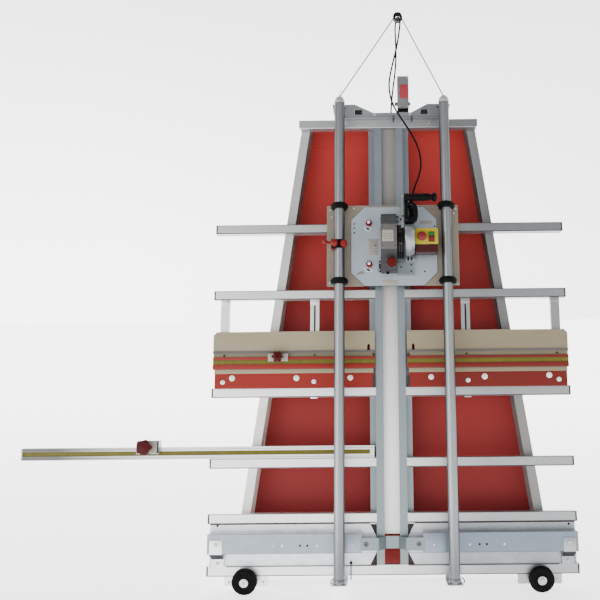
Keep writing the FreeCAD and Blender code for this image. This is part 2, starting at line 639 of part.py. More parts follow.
table = body("turntable_plate")
half = d.table_half
rise = d.table_rise
bevel = d.table_chamfer
OCTAGON = [(bevel - half, -rise), (half - bevel, -rise), (half, bevel - rise), (half, rise - bevel),
           (half - bevel, rise), (bevel - half, rise), (-half, rise - bevel), (-half, bevel - rise)]
OCTAGON = [(PX + x, PZ + z) for x, z in OCTAGON]
SLOT = d.blade_radius + 2.4
pad(table, "XZ", [OCTAGON, box(-12, 12, BLADE_Z - SLOT, BLADE_Z + SLOT)], d.table_back, d.table_thick)
TABLE_FRONT = d.table_back + d.table_thick
SPIGOT = d.pivot_hole - d.slide_clear
pad(table, "XZ", [Circle(PX, PZ, SPIGOT), Circle(PX, PZ, SPIGOT - 5)],
    d.carriage_back, d.table_back - d.carriage_back)

# the guard is a folded hood: a flat front with a roof and a chin, open to the turntable's slot
guard = body("blade_guard")


def hood(inset):
    """The hood's outline from the side, as (backwards, up)."""
    back = -TABLE_FRONT
    front = -d.guard_front
    return [(back, PZ - 121 + inset), (front + 98, PZ - 121 + inset),
            (front + inset, PZ - 48 + inset * 0.5), (front + inset, PZ + 58 - inset * 0.5),
            (front + 42 + inset * 0.4, PZ + 101 - inset), (front + 88, PZ + 125 - inset),
            (back, PZ + 125 - inset)]


pad(guard, "YZ", [hood(dim(0))], d.guard_left, d.guard_right - d.guard_left)
soften(guard, 5, lambda way, middle, bounds: abs(way.x) > 0.99 and middle.y < bounds.YMax - 10)
cut(guard, "YZ", [hood(d.guard_wall)], d.guard_right - d.guard_wall,
    d.guard_right - d.guard_left - 2 * d.guard_wall)
cut(guard, "YZ", [Circle(-d.blade_front, BLADE_Z, 24)], d.guard_right + 1, d.guard_wall + 2)

# the motor: gear ring, vented neck, ribbed casting and end bell on one axis, and the handle's bracket
motor = body("saw_motor")
AXIS = (-d.motor_front, MOTOR_Z)
radius = d.motor_radius
turn(motor, "x", 0, d.motor_front, PZ - 8,
     [(0, d.guard_right + 0.3), (56, d.guard_right + 0.3), (64.5, d.guard_right + 4), (64.5, 62), (60, 65),
      (0, 65)])
turn(motor, "x", 0, d.motor_front, MOTOR_Z,
     [(0, 64), (54, 64), (54, 68.5), (radius - 2, 68.5), (radius, 70.5), (radius, 92), (radius - 4, 95),
      (radius - 4, 98), (radius - 10, d.motor_end), (0, d.motor_end)])
for index in range(8):
    across = 46 * math.cos(math.pi * index / 4)
    above = 46 * math.sin(math.pi * index / 4)
    cut(motor, "YZ", [Circle(AXIS[0] + across, AXIS[1] + above, 6)], d.motor_end + 1, 6)
pad(motor, "YZ", [Circle(-d.blade_front, BLADE_Z, 22)], d.blade_thick / 2 + 5, d.guard_right)
pad(motor, "YZ", [Circle(-d.blade_front, BLADE_Z, d.arbor_radius)], -9, 30)
pad(motor, "XZ", [[(PX + 13, PZ + 40), (PX + 38, PZ + 40), (PX + 38, PZ + 104), (PX + 30, PZ + 113),
                   (PX + 13, PZ + 113)]], TABLE_FRONT, 78)
pad(motor, "XZ", [box(PX + 29, PX + 44, PZ + 50, PZ + 205)], 118, 22)

blade = body("saw_blade")
pad(blade, "YZ", [Circle(-d.blade_front, BLADE_Z, d.blade_radius)], -d.blade_thick / 2,
           d.blade_thick)
tip = d.blade_radius
root = d.blade_radius - d.tooth_depth
gullet = cut(blade, "YZ", [[(-d.blade_front, BLADE_Z + root), (1.5 - d.blade_front, BLADE_Z + root),
                            (5 - d.blade_front, BLADE_Z + tip + 1), (-d.blade_front, BLADE_Z + tip + 1)]],
             d.blade_thick, 2 * d.blade_thick)
teeth = blade.newObject("PartDesign::PolarPattern", "saw_blade_teeth")
teeth.Originals = [gullet]
centre = outline(blade, "YZ", [Circle(0, 0, 1)], (-d.blade_front, BLADE_Z, 0))
centre.Visibility = False
teeth.Axis = (centre, ["N_Axis"])
teeth.Angle = 360
bind(teeth, "Occurrences", d.tooth_count)
blade.Tip = teeth
pad(blade, "YZ", [Circle(-d.blade_front, BLADE_Z, 20)], -d.blade_thick / 2 - 3, 3)
cut(blade, "YZ", [Circle(-d.blade_front, BLADE_Z, d.arbor_radius + d.running_clear)], 5, 20)

handle = body("top_handle")
HANDLE = [(44.4, 75.6), (82, 75.6), (97, 89), (101, 110), (99, 140), (90, 158), (78, 164), (44.4, 164)]
FINGERS = [(58, 97), (74, 97), (83, 106), (83, 138), (74, 149), (58, 149)]
pad(handle, "XZ", [[(PX + x, PZ + z) for x, z in HANDLE], [(PX + x, PZ + z) for x, z in FINGERS]], 136, 28)
soften(handle, 4, lambda way, middle, bounds: abs(way.y) < 0.01 and middle.y < bounds.YMin + 1)

grip = body("side_grip")
turn(grip, "x", PX, 170, PZ + 182,
     [(0, 46), (14, 46), (15.5, 60), (13, 75), (15.5, 90), (13, 105), (15.5, 120), (14, 140), (12, 160),
      (19, 165), (19, 173), (15, 179), (0, 179)])
pad(grip, "XZ", [box(PX + 44.4, PX + 59, PZ + 165, PZ + 199)], 124, 46)

switch = body("switch_box")
pad(switch, "XZ", [box(d.switch_left, d.switch_right, SWITCH_Z, SWITCH_Z + d.switch_height)],
    d.switch_back, d.switch_front - d.switch_back)
soften(switch, 4, lambda way, middle, bounds: abs(way.y) > 0.99)
soften(switch, 1.5, lambda way, middle, bounds: abs(way.y) < 0.01 and middle.y < bounds.YMin + 1)
pad(switch, "YZ", [Circle(AXIS[0] + 8, AXIS[1], 24)], d.motor_end + 0.3, 12)

# the shoe under the motor: a stepped plate with two slots, and the depth screw in front of the hood
mount = body("saw_bracket")
pad(mount, "XZ", [[(PX + 13, PZ - 131), (PX + 87, PZ - 131), (PX + 87, PZ - 73), (PX + 84, PZ - 48),
                   (PX + 50, PZ - 48), (PX + 50, PZ - 73), (PX + 13, PZ - 73)]], TABLE_FRONT, 10)
pad(mount, "XZ", [box(PX + 13, PX + 87, PZ - 131, PZ - 124)], TABLE_FRONT + 10, 8)
for left in (56, 70):
    cut(mount, "XZ", [box(PX + left, PX + left + 8, PZ - 68, PZ - 54)], TABLE_FRONT + 11, 11.5)

depth = body("depth_knob")
DEPTH_X = PX - 11
DEPTH_Z = PZ - 98
DEPTH_BACK = d.guard_front - 36
pad(depth, "XZ", [Circle(DEPTH_X, DEPTH_Z, 7)], DEPTH_BACK - 24, 25)
pad(depth, "XZ", [Circle(DEPTH_X, DEPTH_Z, d.depth_knob_radius * 0.86)], DEPTH_BACK, 18)
for index in range(8):
    angle = math.pi * index / 4
    pad(depth, "XZ", [Circle(DEPTH_X + 16 * math.cos(angle), DEPTH_Z + 16 * math.sin(angle), 5)],
        DEPTH_BACK + 0.5, 16)
cut(guard, "XZ", [Circle(DEPTH_X, DEPTH_Z, 7.4)], DEPTH_BACK + 10, 60)

for name, x, z in (("index_pin_upper", -108, 101), ("index_pin_lower", -107, -80)):
    pin = body(name)
    turn(pin, "y", PX + x, TABLE_FRONT + 6.3, PZ + z,
         [(0, 0), (d.pin_knob - 2, 0), (d.pin_knob, 3), (d.pin_knob, 11), (d.pin_knob - 3, 16), (0, 16)])
    pad(pin, "XZ", [Circle(PX + x, PZ + z, d.pin_radius)], d.table_back + 0.5, d.table_thick + 8)
    cut(table, "XZ", [Circle(PX + x, PZ + z, d.pin_radius + d.running_clear)], TABLE_FRONT + 1, 6)

BUTTONS = (("start_button", 156, 27, d.button_radius, 5), ("stop_button", 156, 5, d.button_radius, 5),
           ("emergency_button", 116, 18, d.emergency_radius, 9))
for name, x, z, radius, stem in BUTTONS:
    cut(switch, "XZ", [Circle(PX + x, PZ + z, stem + 0.5)], d.switch_front + 1, 13)
    button = body(name)
    pad(button, "XZ", [Circle(PX + x, PZ + z, stem)], d.switch_front - 6, 12)
    turn(button, "y", PX + x, d.switch_front + 5, PZ + z,
         [(0, 0), (radius, 0), (radius, 5), (radius - 2, 7), (0, 7)])

# ---------------------------------------------------------------- wheels

wheel_brackets = body("wheel_brackets", leans=False)
UNDER = tangent(d.lean_angle)
for side in (-1, 1):
    start = side * d.wheel_x - d.bracket_half
    near = -d.bracket_back
    far = near + 28
    plate = dim(4)
    top = d.front_height - 0.4
    profile = [(near, top - UNDER * near), (far, top - UNDER * far), (far, top - UNDER * far - plate),
               (near + plate, top - UNDER * near - 2 * plate), (near + plate, d.bracket_foot_z),
               (near, d.bracket_foot_z)]
    pad(wheel_brackets, "YZ", [profile], start, 2 * d.bracket_half)
for side in (-1, 1):
    back_face = -d.wheel_front - d.wheel_width
    turn(wheel_brackets, "y", side * d.wheel_x, 0, d.wheel_radius,
         [(0, d.bracket_back - 1), (7.5, d.bracket_back - 1), (7.5, 0.5), (12, 0.5),
          (12, d.wheel_front - 0.3),
          (d.axle_radius, d.wheel_front - 0.3), (d.axle_radius, d.wheel_front + d.wheel_width + 0.3),
          (13, d.wheel_front + d.wheel_width + 0.3), (13, d.wheel_front + d.wheel_width + 3),
          (0, d.wheel_front + d.wheel_width + 3)])

for side, word in ((-1, "left"), (1, "right")):
    front = d.wheel_front
    width = d.wheel_width
    tyre = body("tyre_" + word, leans=False)
    rim = d.hub_radius + d.running_clear
    turn(tyre, "y", side * d.wheel_x, 0, d.wheel_radius,
         [(rim, front + 2), (d.wheel_radius - 4, front), (d.wheel_radius, front + 5),
          (d.wheel_radius, front + width - 5), (d.wheel_radius - 4, front + width),
          (rim, front + width - 2)])
    hub = body("hub_" + word, leans=False)
    bore = d.axle_radius + d.running_clear
    turn(hub, "y", side * d.wheel_x, 0, d.wheel_radius,
         [(bore, front), (d.hub_radius, front), (d.hub_radius, front + width), (bore, front + width)])

# ---------------------------------------------------------------- rear stand

beam = body("stand_beam")
BEAM_FRONT = -d.bar_side - d.leg_depth - d.panel_sheet
square_bar(beam, -d.beam_half, 2 * d.beam_half, BEAM_FRONT, d.beam_z)
HINGE_Z = d.beam_z + d.bar_side / 2
BEAM_BACK = BEAM_FRONT - d.bar_side
reach = d.stand_side / 2 + 1
for side in (-1, 1):
    for near in (side * d.stand_x + reach, side * d.stand_x - reach - d.lug_sheet):
        pad(beam, "YZ", [box(-BEAM_BACK, d.hinge_back + 14, HINGE_Z - 16, HINGE_Z + 16)], near, d.lug_sheet)
    pad(beam, "YZ", [Circle(d.hinge_back, HINGE_Z, d.hinge_pin)],
        side * d.stand_x - reach - d.lug_sheet, 2 * (reach + d.lug_sheet))

LEAN = math.radians(d.lean_angle.number)


def on_ground(front, z):
    """Where a point of the leaning frame lies in the ground's axes, as (backwards, up)."""
    back = Dim(0, "(%s * sin(dims.lean_angle) - %s * cos(dims.lean_angle))" % (dim(z).text, dim(front).text))
    back.number = dim(z).number * math.sin(LEAN) - dim(front).number * math.cos(LEAN)
    rise = Dim(0, "(%s * cos(dims.lean_angle) + %s * sin(dims.lean_angle) + dims.front_height)"
               % (dim(z).text, dim(front).text))
    rise.number = dim(z).number * math.cos(LEAN) + dim(front).number * math.sin(LEAN)
    rise.number += d.front_height.number
    return back, rise


HINGE = on_ground(-d.hinge_back, HINGE_Z)
stand = body("stand_frame", leans=False)
half = d.stand_side / 2
foot = d.stand_foot_y
for side in (-1, 1):
    start = side * d.stand_x - half
    leg_side = [(HINGE[0] - half, HINGE[1]), (HINGE[0] + half, HINGE[1]), (foot + half, d.foot_pad),
                (foot - half, d.foot_pad)]
    pad(stand, "YZ", [leg_side], start, d.stand_side)
    pad(stand, "YZ", [Circle(HINGE[0], HINGE[1], half)], start, d.stand_side)
pad(stand, "YZ", [box(foot - 56, foot - 32, 180, 204)], -d.stand_x, 2 * d.stand_x)
for side in (-1, 1):
    cut(stand, "YZ", [Circle(HINGE[0], HINGE[1], d.hinge_pin + d.running_clear)],
        side * d.stand_x + half + 1, d.stand_side + 2)
for side in (-1, 1):
    pad(stand, "XY", [box(side * d.stand_x - 22, side * d.stand_x + 22, foot - 22, foot + 22)], 0,
        d.foot_pad)

# ---------------------------------------------------------------- counterbalance and small bolts

weights = body("counterweights")
for middle in (d.guide_left_x, d.guide_right_x):
    pad(weights, "XY", [Circle(middle, -d.guide_front, d.weight_radius)], d.weight_foot_z,
        d.weight_length)

bolts = body("frame_bolts")
CLIP_X = d.ledge_half - 36
CLIP_FACE = d.band_front + 2
STRAP_FACE = d.band_front + d.strap_sheet
STRAP_MIDDLE = d.strap_z + d.strap_height / 2
BRACKET_FACE = d.bracket_front + d.bracket_sheet
for x, z, front, proud in ((-CLIP_X, d.band_top - 40, CLIP_FACE, 4), (CLIP_X, d.band_top - 40, CLIP_FACE, 4),
                           (-CLIP_X, d.bar_side + 12, dim(2), 4), (CLIP_X, d.bar_side + 12, dim(2), 4),
                           (-107, STRAP_MIDDLE, STRAP_FACE, 0.6), (107, STRAP_MIDDLE, STRAP_FACE, 0.6),
                           (-60, d.crossbar_z + 53, BRACKET_FACE, 4), (98, d.crossbar_z + 53,
                           BRACKET_FACE, 4)):
    pad(bolts, "XZ", [Circle(x, z, 6)], front, proud)
BOLT_Z = FACE_Z + 22
for x in (-d.outer_post_x, -d.inner_post_x, d.inner_post_x, d.outer_post_x):
    pad(bolts, "XZ", [Circle(x, BOLT_Z, 9)], d.face_thick, 4)

# ---------------------------------------------------------------- seat everything on the floor

doc.recompute()
TILT = FreeCAD.Rotation(Vector(1, 0, 0), -d.lean_angle.number)
for node, leans in NODES:
    if leans:
        node.Placement = FreeCAD.Placement(Vector(0, 0, d.front_height.number), TILT)
doc.recompute()
extent = FreeCAD.BoundBox()
for node, leans in NODES:
    if node.Label == "power_cord":
        continue
    extent.add(node.Shape.BoundBox)
shift = Vector(-(extent.XMin + extent.XMax) / 2, -(extent.YMin + extent.YMax) / 2, 0)
for node, leans in NODES:
    node.Placement = FreeCAD.Placement(shift, FreeCAD.Rotation()).multiply(node.Placement)
doc.recompute()

for thing in doc.Objects:
    faults = [state for state in thing.State if state in ("Invalid", "Error")]
    if faults:
        raise RuntimeError("%s is %s" % (thing.Name, faults))
os.makedirs("parts", exist_ok=True)
for node, leans in NODES:
    if node.Shape.isNull() or not node.Shape.isValid() or not node.Shape.Solids:
        raise RuntimeError("%s has no valid solid" % node.Label)
    node.Shape.exportStep("parts/%s.step" % node.Label)
    bounds = node.Shape.BoundBox
    print("%-18s %2d solids %9.1f cm3 x %.0f..%.0f y %.0f..%.0f z %.0f..%.0f" % (
        node.Label, len(node.Shape.Solids), node.Shape.Volume / 1000, bounds.XMin, bounds.XMax,
        bounds.YMin, bounds.YMax, bounds.ZMin, bounds.ZMax))
print("shift", shift, "nodes", len(NODES))
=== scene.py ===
"""Looks for the vertical panel saw: materials on every CAD node and the detail pieces around them.

Points on the machine are given as (right, front, up) in millimetres along the leaning frame, measured
from its bottom edge, and at() turns them into the row frame with the joints' own axes.
"""
import json
import math
import bmesh
import bpy
from mathutils import Matrix, Vector


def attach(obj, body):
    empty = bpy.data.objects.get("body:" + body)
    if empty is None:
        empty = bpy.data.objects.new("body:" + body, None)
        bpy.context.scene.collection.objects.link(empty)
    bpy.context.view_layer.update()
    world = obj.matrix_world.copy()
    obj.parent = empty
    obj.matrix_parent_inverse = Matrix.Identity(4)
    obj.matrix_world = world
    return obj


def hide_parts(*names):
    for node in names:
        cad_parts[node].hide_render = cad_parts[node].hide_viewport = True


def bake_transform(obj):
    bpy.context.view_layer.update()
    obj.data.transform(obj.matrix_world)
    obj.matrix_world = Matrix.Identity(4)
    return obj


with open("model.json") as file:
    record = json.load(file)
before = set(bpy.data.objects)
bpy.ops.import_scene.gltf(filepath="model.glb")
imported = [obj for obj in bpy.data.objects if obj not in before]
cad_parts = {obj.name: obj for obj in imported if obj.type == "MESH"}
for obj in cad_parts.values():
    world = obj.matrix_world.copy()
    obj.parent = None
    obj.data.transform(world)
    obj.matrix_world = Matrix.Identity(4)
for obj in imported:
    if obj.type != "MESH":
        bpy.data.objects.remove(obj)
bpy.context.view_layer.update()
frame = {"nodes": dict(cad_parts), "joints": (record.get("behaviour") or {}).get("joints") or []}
JOINTS = {joint["name"]: joint for joint in frame["joints"]}
UP = Vector(JOINTS["carriage_slide"]["axis"])
OUT = Vector(JOINTS["turntable_turn"]["axis"])
RIGHT = Vector((1, 0, 0))
PIVOT = Vector(JOINTS["turntable_turn"]["pos_m"])

# The turntable's pivot, the faces that most details stand on, the guide tubes and the cross rails, in mm.
PIVOT_RIGHT, PIVOT_FRONT, PIVOT_UP = 20, 50, 1361
PIVOT_BACK = 331.693    # the same depth on the floor, behind the frame's lower edge
LEDGE_FACE, BOARD_FACE, PLATE_FACE, GUARD_FACE = 42, 55, 60, 211
TUBES = (("left", -212.6), ("right", 244.6))
TUBE_FRONT = 92
RAIL_END, RAIL_GAP = 758.6, 64.4    # how far right the right-hand rails end and start
PROUD = 0.25                        # how far thin dark strips stand off their faces


def at(right, front, up):
    """A point of the leaning frame in the row frame."""
    along = RIGHT * (right - PIVOT_RIGHT) + OUT * (front - PIVOT_FRONT) + UP * (up - PIVOT_UP)
    return PIVOT + along / 1000


def ground(x, y, z):
    """A point measured on the floor, with y towards the back, in millimetres."""
    return Vector((PIVOT.x + (x - PIVOT_RIGHT) / 1000, (y - PIVOT_BACK) / 1000, z / 1000))


# ---------------------------------------------------------------- shader nodes

def add(tree, kind, inputs=None, operation=None):
    """A shader node. Each input is a value, or the socket that feeds it."""
    node = tree.nodes.new("ShaderNode" + kind)
    if operation:
        node.operation = operation
    for slot, value in (inputs or {}).items():
        if isinstance(value, bpy.types.NodeSocket):
            tree.links.new(value, node.inputs[slot])
        else:
            node.inputs[slot].default_value = value
    return node


def noise(tree, vector, scale, detail, rough=0.5):
    made = add(tree, "TexNoise", {"Vector": vector, "Scale": scale, "Detail": detail, "Roughness": rough})
    return made.outputs["Fac"]


def ramp(tree, value, start, end, tones=None):
    """A colour ramp between two positions, from black to white or between two tones."""
    made = add(tree, "ValToRGB", {"Fac": value})
    for index, place in enumerate((start, end)):
        made.color_ramp.elements[index].position = place
        if tones:
            made.color_ramp.elements[index].color = linear(tones[index])
    return made.outputs["Color"]


def ranged(tree, value, start, end, low, high):
    """A value's stretch from start to end as one from low to high."""
    return add(tree, "MapRange", {"Value": value, "From Min": start, "From Max": end, "To Min": low,
                                  "To Max": high}).outputs["Result"]


def split(tree, vector):
    return add(tree, "SeparateXYZ", {"Vector": vector}).outputs


def linear(code):
    """A hex colour as linear light."""
    values = [int(code[i:i + 2], 16) / 255 for i in (1, 3, 5)]
    return [v / 12.92 if v <= 0.04045 else ((v + 0.055) / 1.055) ** 2.4 for v in values] + [1]


# ---------------------------------------------------------------- finishes

M = {}
SPECK_EDGE = 0.09           # how far a speck's rim spreads along its noise
PALE_EDGE = (0.515, 0.56)   # pointiness from which an edge is lightened, and where it is fully lightened
TURNED_BACK = (0.2, 0.7)    # backward part of a face's normal from which the painted back shade starts, and where it is full
GRAIN_DEPTH = 0.001         # the bump's height in metres


def finish_of(name, base, second, rough, spread, metal, scale, fine, bump, mottle, pale_edges=None,
              specks=None, side_shade=None, fade=(), spec=0.5, rear=None):
    """A procedural finish: two tones by broad noise, fine grain in bump and roughness.

    The numbers are the roughness and its spread, the metallic part, the scales of the broad noise and of
    the grain, the bump and the width of the step between the tones. Pale edges (tint, share) lighten its
    convex edges, specks (tint, scale, start) dot it, side shade (tint, start, share) paints shade onto faces
    turned to the sides and back shade (tint, share) onto those turned to the back. Each fade (axis, start,
    end, tint, share) tints it along the machine at rest; on most finishes that tint is painted light and
    shade.
    """
    made = M[name] = bpy.data.materials.new(name)
    made.use_nodes = True
    tree = made.node_tree
    place = add(tree, "TexCoord").outputs["Object"]
    surface = add(tree, "NewGeometry").outputs
    facing = split(tree, surface["Normal"])
    scale = scale if isinstance(scale, tuple) else (scale,) * 3
    stretched = add(tree, "Mapping", {"Vector": place, "Scale": scale}).outputs["Vector"]
    broad = noise(tree, stretched, 1.0, 6, 0.6)
    colour = ramp(tree, broad, 0.5 - mottle / 2, 0.5 + mottle / 2, (base, second))
    grain = noise(tree, place, fine, 3)

    tints = []
    if specks:
        tint, size, start = specks
        tints.append((tint, ramp(tree, noise(tree, place, size, 2), start, start + SPECK_EDGE)))
    if pale_edges:
        tint, share = pale_edges
        edges = ramp(tree, surface["Pointiness"], *PALE_EDGE)
        tints.append((tint, add(tree, "Math", {0: edges, 1: share}, "MULTIPLY").outputs["Value"]))
    if side_shade:
        tint, start, share = side_shade
        sideways = add(tree, "Math", {0: facing["X"]}, "ABSOLUTE").outputs["Value"]
        tints.append((tint, ranged(tree, sideways, start, 1.0, 0.0, share)))
    if rear:
        tint, share = rear
        tints.append((tint, ranged(tree, facing["Y"], *TURNED_BACK, 0.0, share)))
    along = split(tree, place)
    for axis, start, end, tint, share in fade:
        tints.append((tint, ranged(tree, along[axis], start, end, 0.0, share)))
    for tint, share in tints:
        mixed = add(tree, "MixRGB", {"Color1": colour, "Color2": linear(tint), "Fac": share})
        colour = mixed.outputs["Color"]

    raised = add(tree, "Bump", {"Height": grain, "Strength": bump, "Distance": GRAIN_DEPTH})
    shader = tree.nodes["Principled BSDF"].inputs
    shader["Metallic"].default_value = metal
    shader["Specular IOR Level"].default_value = spec
    tree.links.new(colour, shader["Base Color"])
    tree.links.new(ranged(tree, grain, 0.0, 1.0, max(0.05, rough - spread), min(1.0, rough + spread)),
                   shader["Roughness"])
    tree.links.new(raised.outputs["Normal"], shader["Normal"])


# Painted light and shade, as from a lamp low on the left: lighter towards the bottom, darker towards the
# right.
PAINTED_LOW_LEFT_LIGHT = [("Z", 1.55, 0.7, "#fafbfc", 0.95), ("X", 0.2, 0.8, "#585b5f", 0.68)]
finish_of("zinc", "#8c8e90", "#9b9d9f", 0.36, 0.1, 0.75, 5, 320, 0.05, 0.5, pale_edges=("#d5d6d4", 0.3),
          fade=PAINTED_LOW_LEFT_LIGHT)
# Painted shade and light on the legs: darker on faces turned to the sides and the back and towards the right,
# lighter towards the bottom.
finish_of("zinc_dull", "#9b9c9b", "#acadab", 0.5, 0.1, 0.4, 6, 320, 0.05, 0.5, side_shade=("#4c4a49", 0.5, 0.8),
          fade=[("Z", 1.5, 0.5, "#f2efe8", 0.8), ("X", 0.55, 0.85, "#2f3136", 0.75)], rear=("#3d3e42", 0.8))
# Painted light: the columns turn paler towards the bottom.
finish_of("zinc_blue", "#777e85", "#838a90", 0.36, 0.1, 0.7, 7, 300, 0.05, 0.5,
          fade=[("Z", 1.6, 0.4, "#848f90", 0.8)])
finish_of("table_zinc", "#959ea8", "#a3abb3", 0.36, 0.1, 0.6, 7, 300, 0.05, 0.5)
# Painted shade, darker towards the right, and a painted reflection, darker and bluish, on the band that
# stands forward.
finish_of("galvanised", "#d9dfe3", "#f0f3f5", 0.34, 0.12, 0.5, 26, 200, 0.06, 0.3,
          fade=[("X", 0.25, 0.7, "#5f666d", 0.7), ("Y", -0.325, -0.336, "#6b7988", 0.74)])
# Painted shade and light on the guide tubes: near black on faces turned to the sides, paler lower down,
# darker near their feet.
finish_of("tube", "#818487", "#909396", 0.3, 0.07, 0.8, (60, 60, 3), 420, 0.04, 0.6,
          side_shade=("#101112", 0.34, 0.96),
          fade=[("Z", 1.3, 0.4, "#a9acae", 0.35), ("Z", 0.36, 0.12, "#3c3e42", 0.55)])
finish_of("tube_end", "#8b8e90", "#9a9c9e", 0.4, 0.08, 0.4, 40, 420, 0.06, 0.5)
# Painted shade: darker towards the bottom and on faces turned to the back.
finish_of("red_panel", "#a02a25", "#962522", 0.55, 0.08, 0.0, 3, 340, 0.05, 0.6,
          fade=[("Z", 1.9, 0.3, "#761b1b", 0.9)], spec=0.25, rear=("#4a0e0c", 0.9))
finish_of("red_plastic", "#4c0909", "#560c0b", 0.4, 0.08, 0.0, 30, 500, 0.06, 0.4, spec=0.12)
finish_of("lock_red", "#661010", "#701312", 0.36, 0.08, 0.0, 30, 500, 0.06, 0.4, spec=0.2)
finish_of("cap_red", "#45100f", "#581716", 0.5, 0.08, 0.0, 30, 500, 0.06, 0.4, spec=0.3)
# Painted light: the backing strip turns nearly white towards the bottom.
finish_of("strip", "#6e6c68", "#787672", 0.5, 0.08, 0.1, (8, 8, 3), 380, 0.04, 0.5,
          fade=[("Z", 1.5, 0.5, "#f7f6f3", 1.0)])
finish_of("lining", "#736b52", "#6a634c", 0.6, 0.08, 0.0, (8, 8, 3), 380, 0.04, 0.5)
finish_of("aluminium", "#a1a2a0", "#b0b1ae", 0.35, 0.08, 0.6, (4, 50, 50), 360, 0.05, 0.5)
# Painted shade: darker towards the far left end.
finish_of("ruler", "#d9dad8", "#e6e6e4", 0.38, 0.08, 0.5, (4, 50, 50), 360, 0.05, 0.5,
          fade=[("X", -0.5, -1.0, "#4e4d4a", 0.95)])
finish_of("board", "#7b7265", "#71695e", 0.6, 0.1, 0.0, 14, 420, 0.12, 0.5, specks=("#4b4640", 900, 0.58),
          spec=0.3)
# The specks are the boards' own; the darkening towards the right is painted shade.
finish_of("beige", "#8e846c", "#857c64", 0.62, 0.08, 0.0, (3, 20, 20), 420, 0.06, 0.5,
          specks=("#7a7058", 700, 0.6), fade=[("X", 0.25, 0.8, "#6a604a", 0.5)], spec=0.3)
# Painted shade: darker towards the right.
finish_of("fence_red", "#801b12", "#781810", 0.45, 0.08, 0.0, (4, 12, 12), 380, 0.05, 0.5,
          fade=[("X", 0.2, 0.8, "#4c100b", 0.65)], spec=0.25)
finish_of("black_plastic", "#060606", "#0c0c0d", 0.45, 0.1, 0.0, 40, 650, 0.15, 0.5, spec=0.06)
finish_of("black_rubber", "#070707", "#0c0c0c", 0.68, 0.08, 0.0, 40, 700, 0.12, 0.5, spec=0.06)
finish_of("tyre", "#0d0b0b", "#151212", 0.7, 0.1, 0.0, 30, 500, 0.2, 0.5, spec=0.05)
# guard_grey also paints light on the saw guard's front face, against the guard's own darker grey.
finish_of("guard_grey", "#54524f", "#4e4c49", 0.5, 0.08, 0.1, 16, 460, 0.1, 0.5, spec=0.3)
finish_of("guard_dark", "#2f2e30", "#29292b", 0.5, 0.08, 0.1, 16, 460, 0.1, 0.5, spec=0.3)
finish_of("motor_cast", "#7d8084", "#909396", 0.3, 0.1, 0.6, 30, 520, 0.15, 0.5,
          fade=[("X", 0.4605, 0.4595, "#0c0b0a", 0.97)])
finish_of("cast", "#7d8084", "#909396", 0.3, 0.1, 0.6, 30, 520, 0.15, 0.5)
finish_of("yellow", "#9c8c14", "#948311", 0.4, 0.08, 0.0, 24, 500, 0.06, 0.4, spec=0.3)
finish_of("box_red", "#2c0806", "#380d0a", 0.42, 0.08, 0.0, 24, 500, 0.08, 0.4, spec=0.2)
finish_of("stop_red", "#5e0c11", "#6a1317", 0.35, 0.08, 0.0, 40, 500, 0.05, 0.4, spec=0.3)
finish_of("green", "#14551c", "#104a17", 0.34, 0.08, 0.0, 40, 500, 0.05, 0.4, spec=0.3)
finish_of("steel", "#b0b2b4", "#c6c8c9", 0.3, 0.1, 0.6, 40, 600, 0.08, 0.5)
finish_of("rod", "#4f504f", "#5c5d5c", 0.45, 0.1, 0.4, 40, 600, 0.08, 0.5)
finish_of("button_white", "#e2e1dc", "#d8d7d1", 0.35, 0.08, 0.0, 60, 600, 0.05, 0.4)
finish_of("blade", "#b2b4b6", "#c4c6c8", 0.22, 0.08, 0.9, (20, 90, 90), 500, 0.06, 0.5)
finish_of("iron", "#3a3a3b", "#4a4a4b", 0.6, 0.1, 0.6, 20, 300, 0.2, 0.5)
finish_of("tape", "#5f5812", "#565010", 0.5, 0.08, 0.0, (60, 8, 8), 400, 0.04, 0.3, spec=0.25)
finish_of("tape_mark", "#3b370c", "#33300b", 0.55, 0.08, 0.0, (60, 8, 8), 400, 0.04, 0.3)
finish_of("plate_bare", "#8f8a82", "#847f78", 0.45, 0.08, 0.1, 50, 500, 0.04, 0.4)
finish_of("plate_red", "#83242b", "#8b2c32", 0.45, 0.08, 0.0, 50, 500, 0.04, 0.4)
finish_of("box_grey", "#67686a", "#5f6062", 0.5, 0.08, 0.1, 20, 500, 0.08, 0.4)
finish_of("pale_knob", "#e2c4c6", "#d9b4b6", 0.35, 0.08, 0.0, 40, 500, 0.04, 0.4)
# Dark parts, and also the painted shade in holes, slots, grooves, bores and on the end brackets' webs.
finish_of("dark_line", "#15181c", "#1e2226", 0.6, 0.08, 0.0, 40, 400, 0.05, 0.4, spec=0.15)
# Painted shade: thin dark strips along the rails' edges, in the fence's notches, in gaps and along the ledge.
finish_of("rail_edge", "#2e2624", "#3a312e", 0.6, 0.08, 0.1, (30, 8, 8), 400, 0.05, 0.4, spec=0.2)
finish_of("knob_dark", "#360808", "#420a0a", 0.4, 0.08, 0.0, 30, 500, 0.06, 0.4, spec=0.12)
finish_of("slate", "#2f3b43", "#39454d", 0.5, 0.08, 0.2, 20, 400, 0.05, 0.4, spec=0.2)

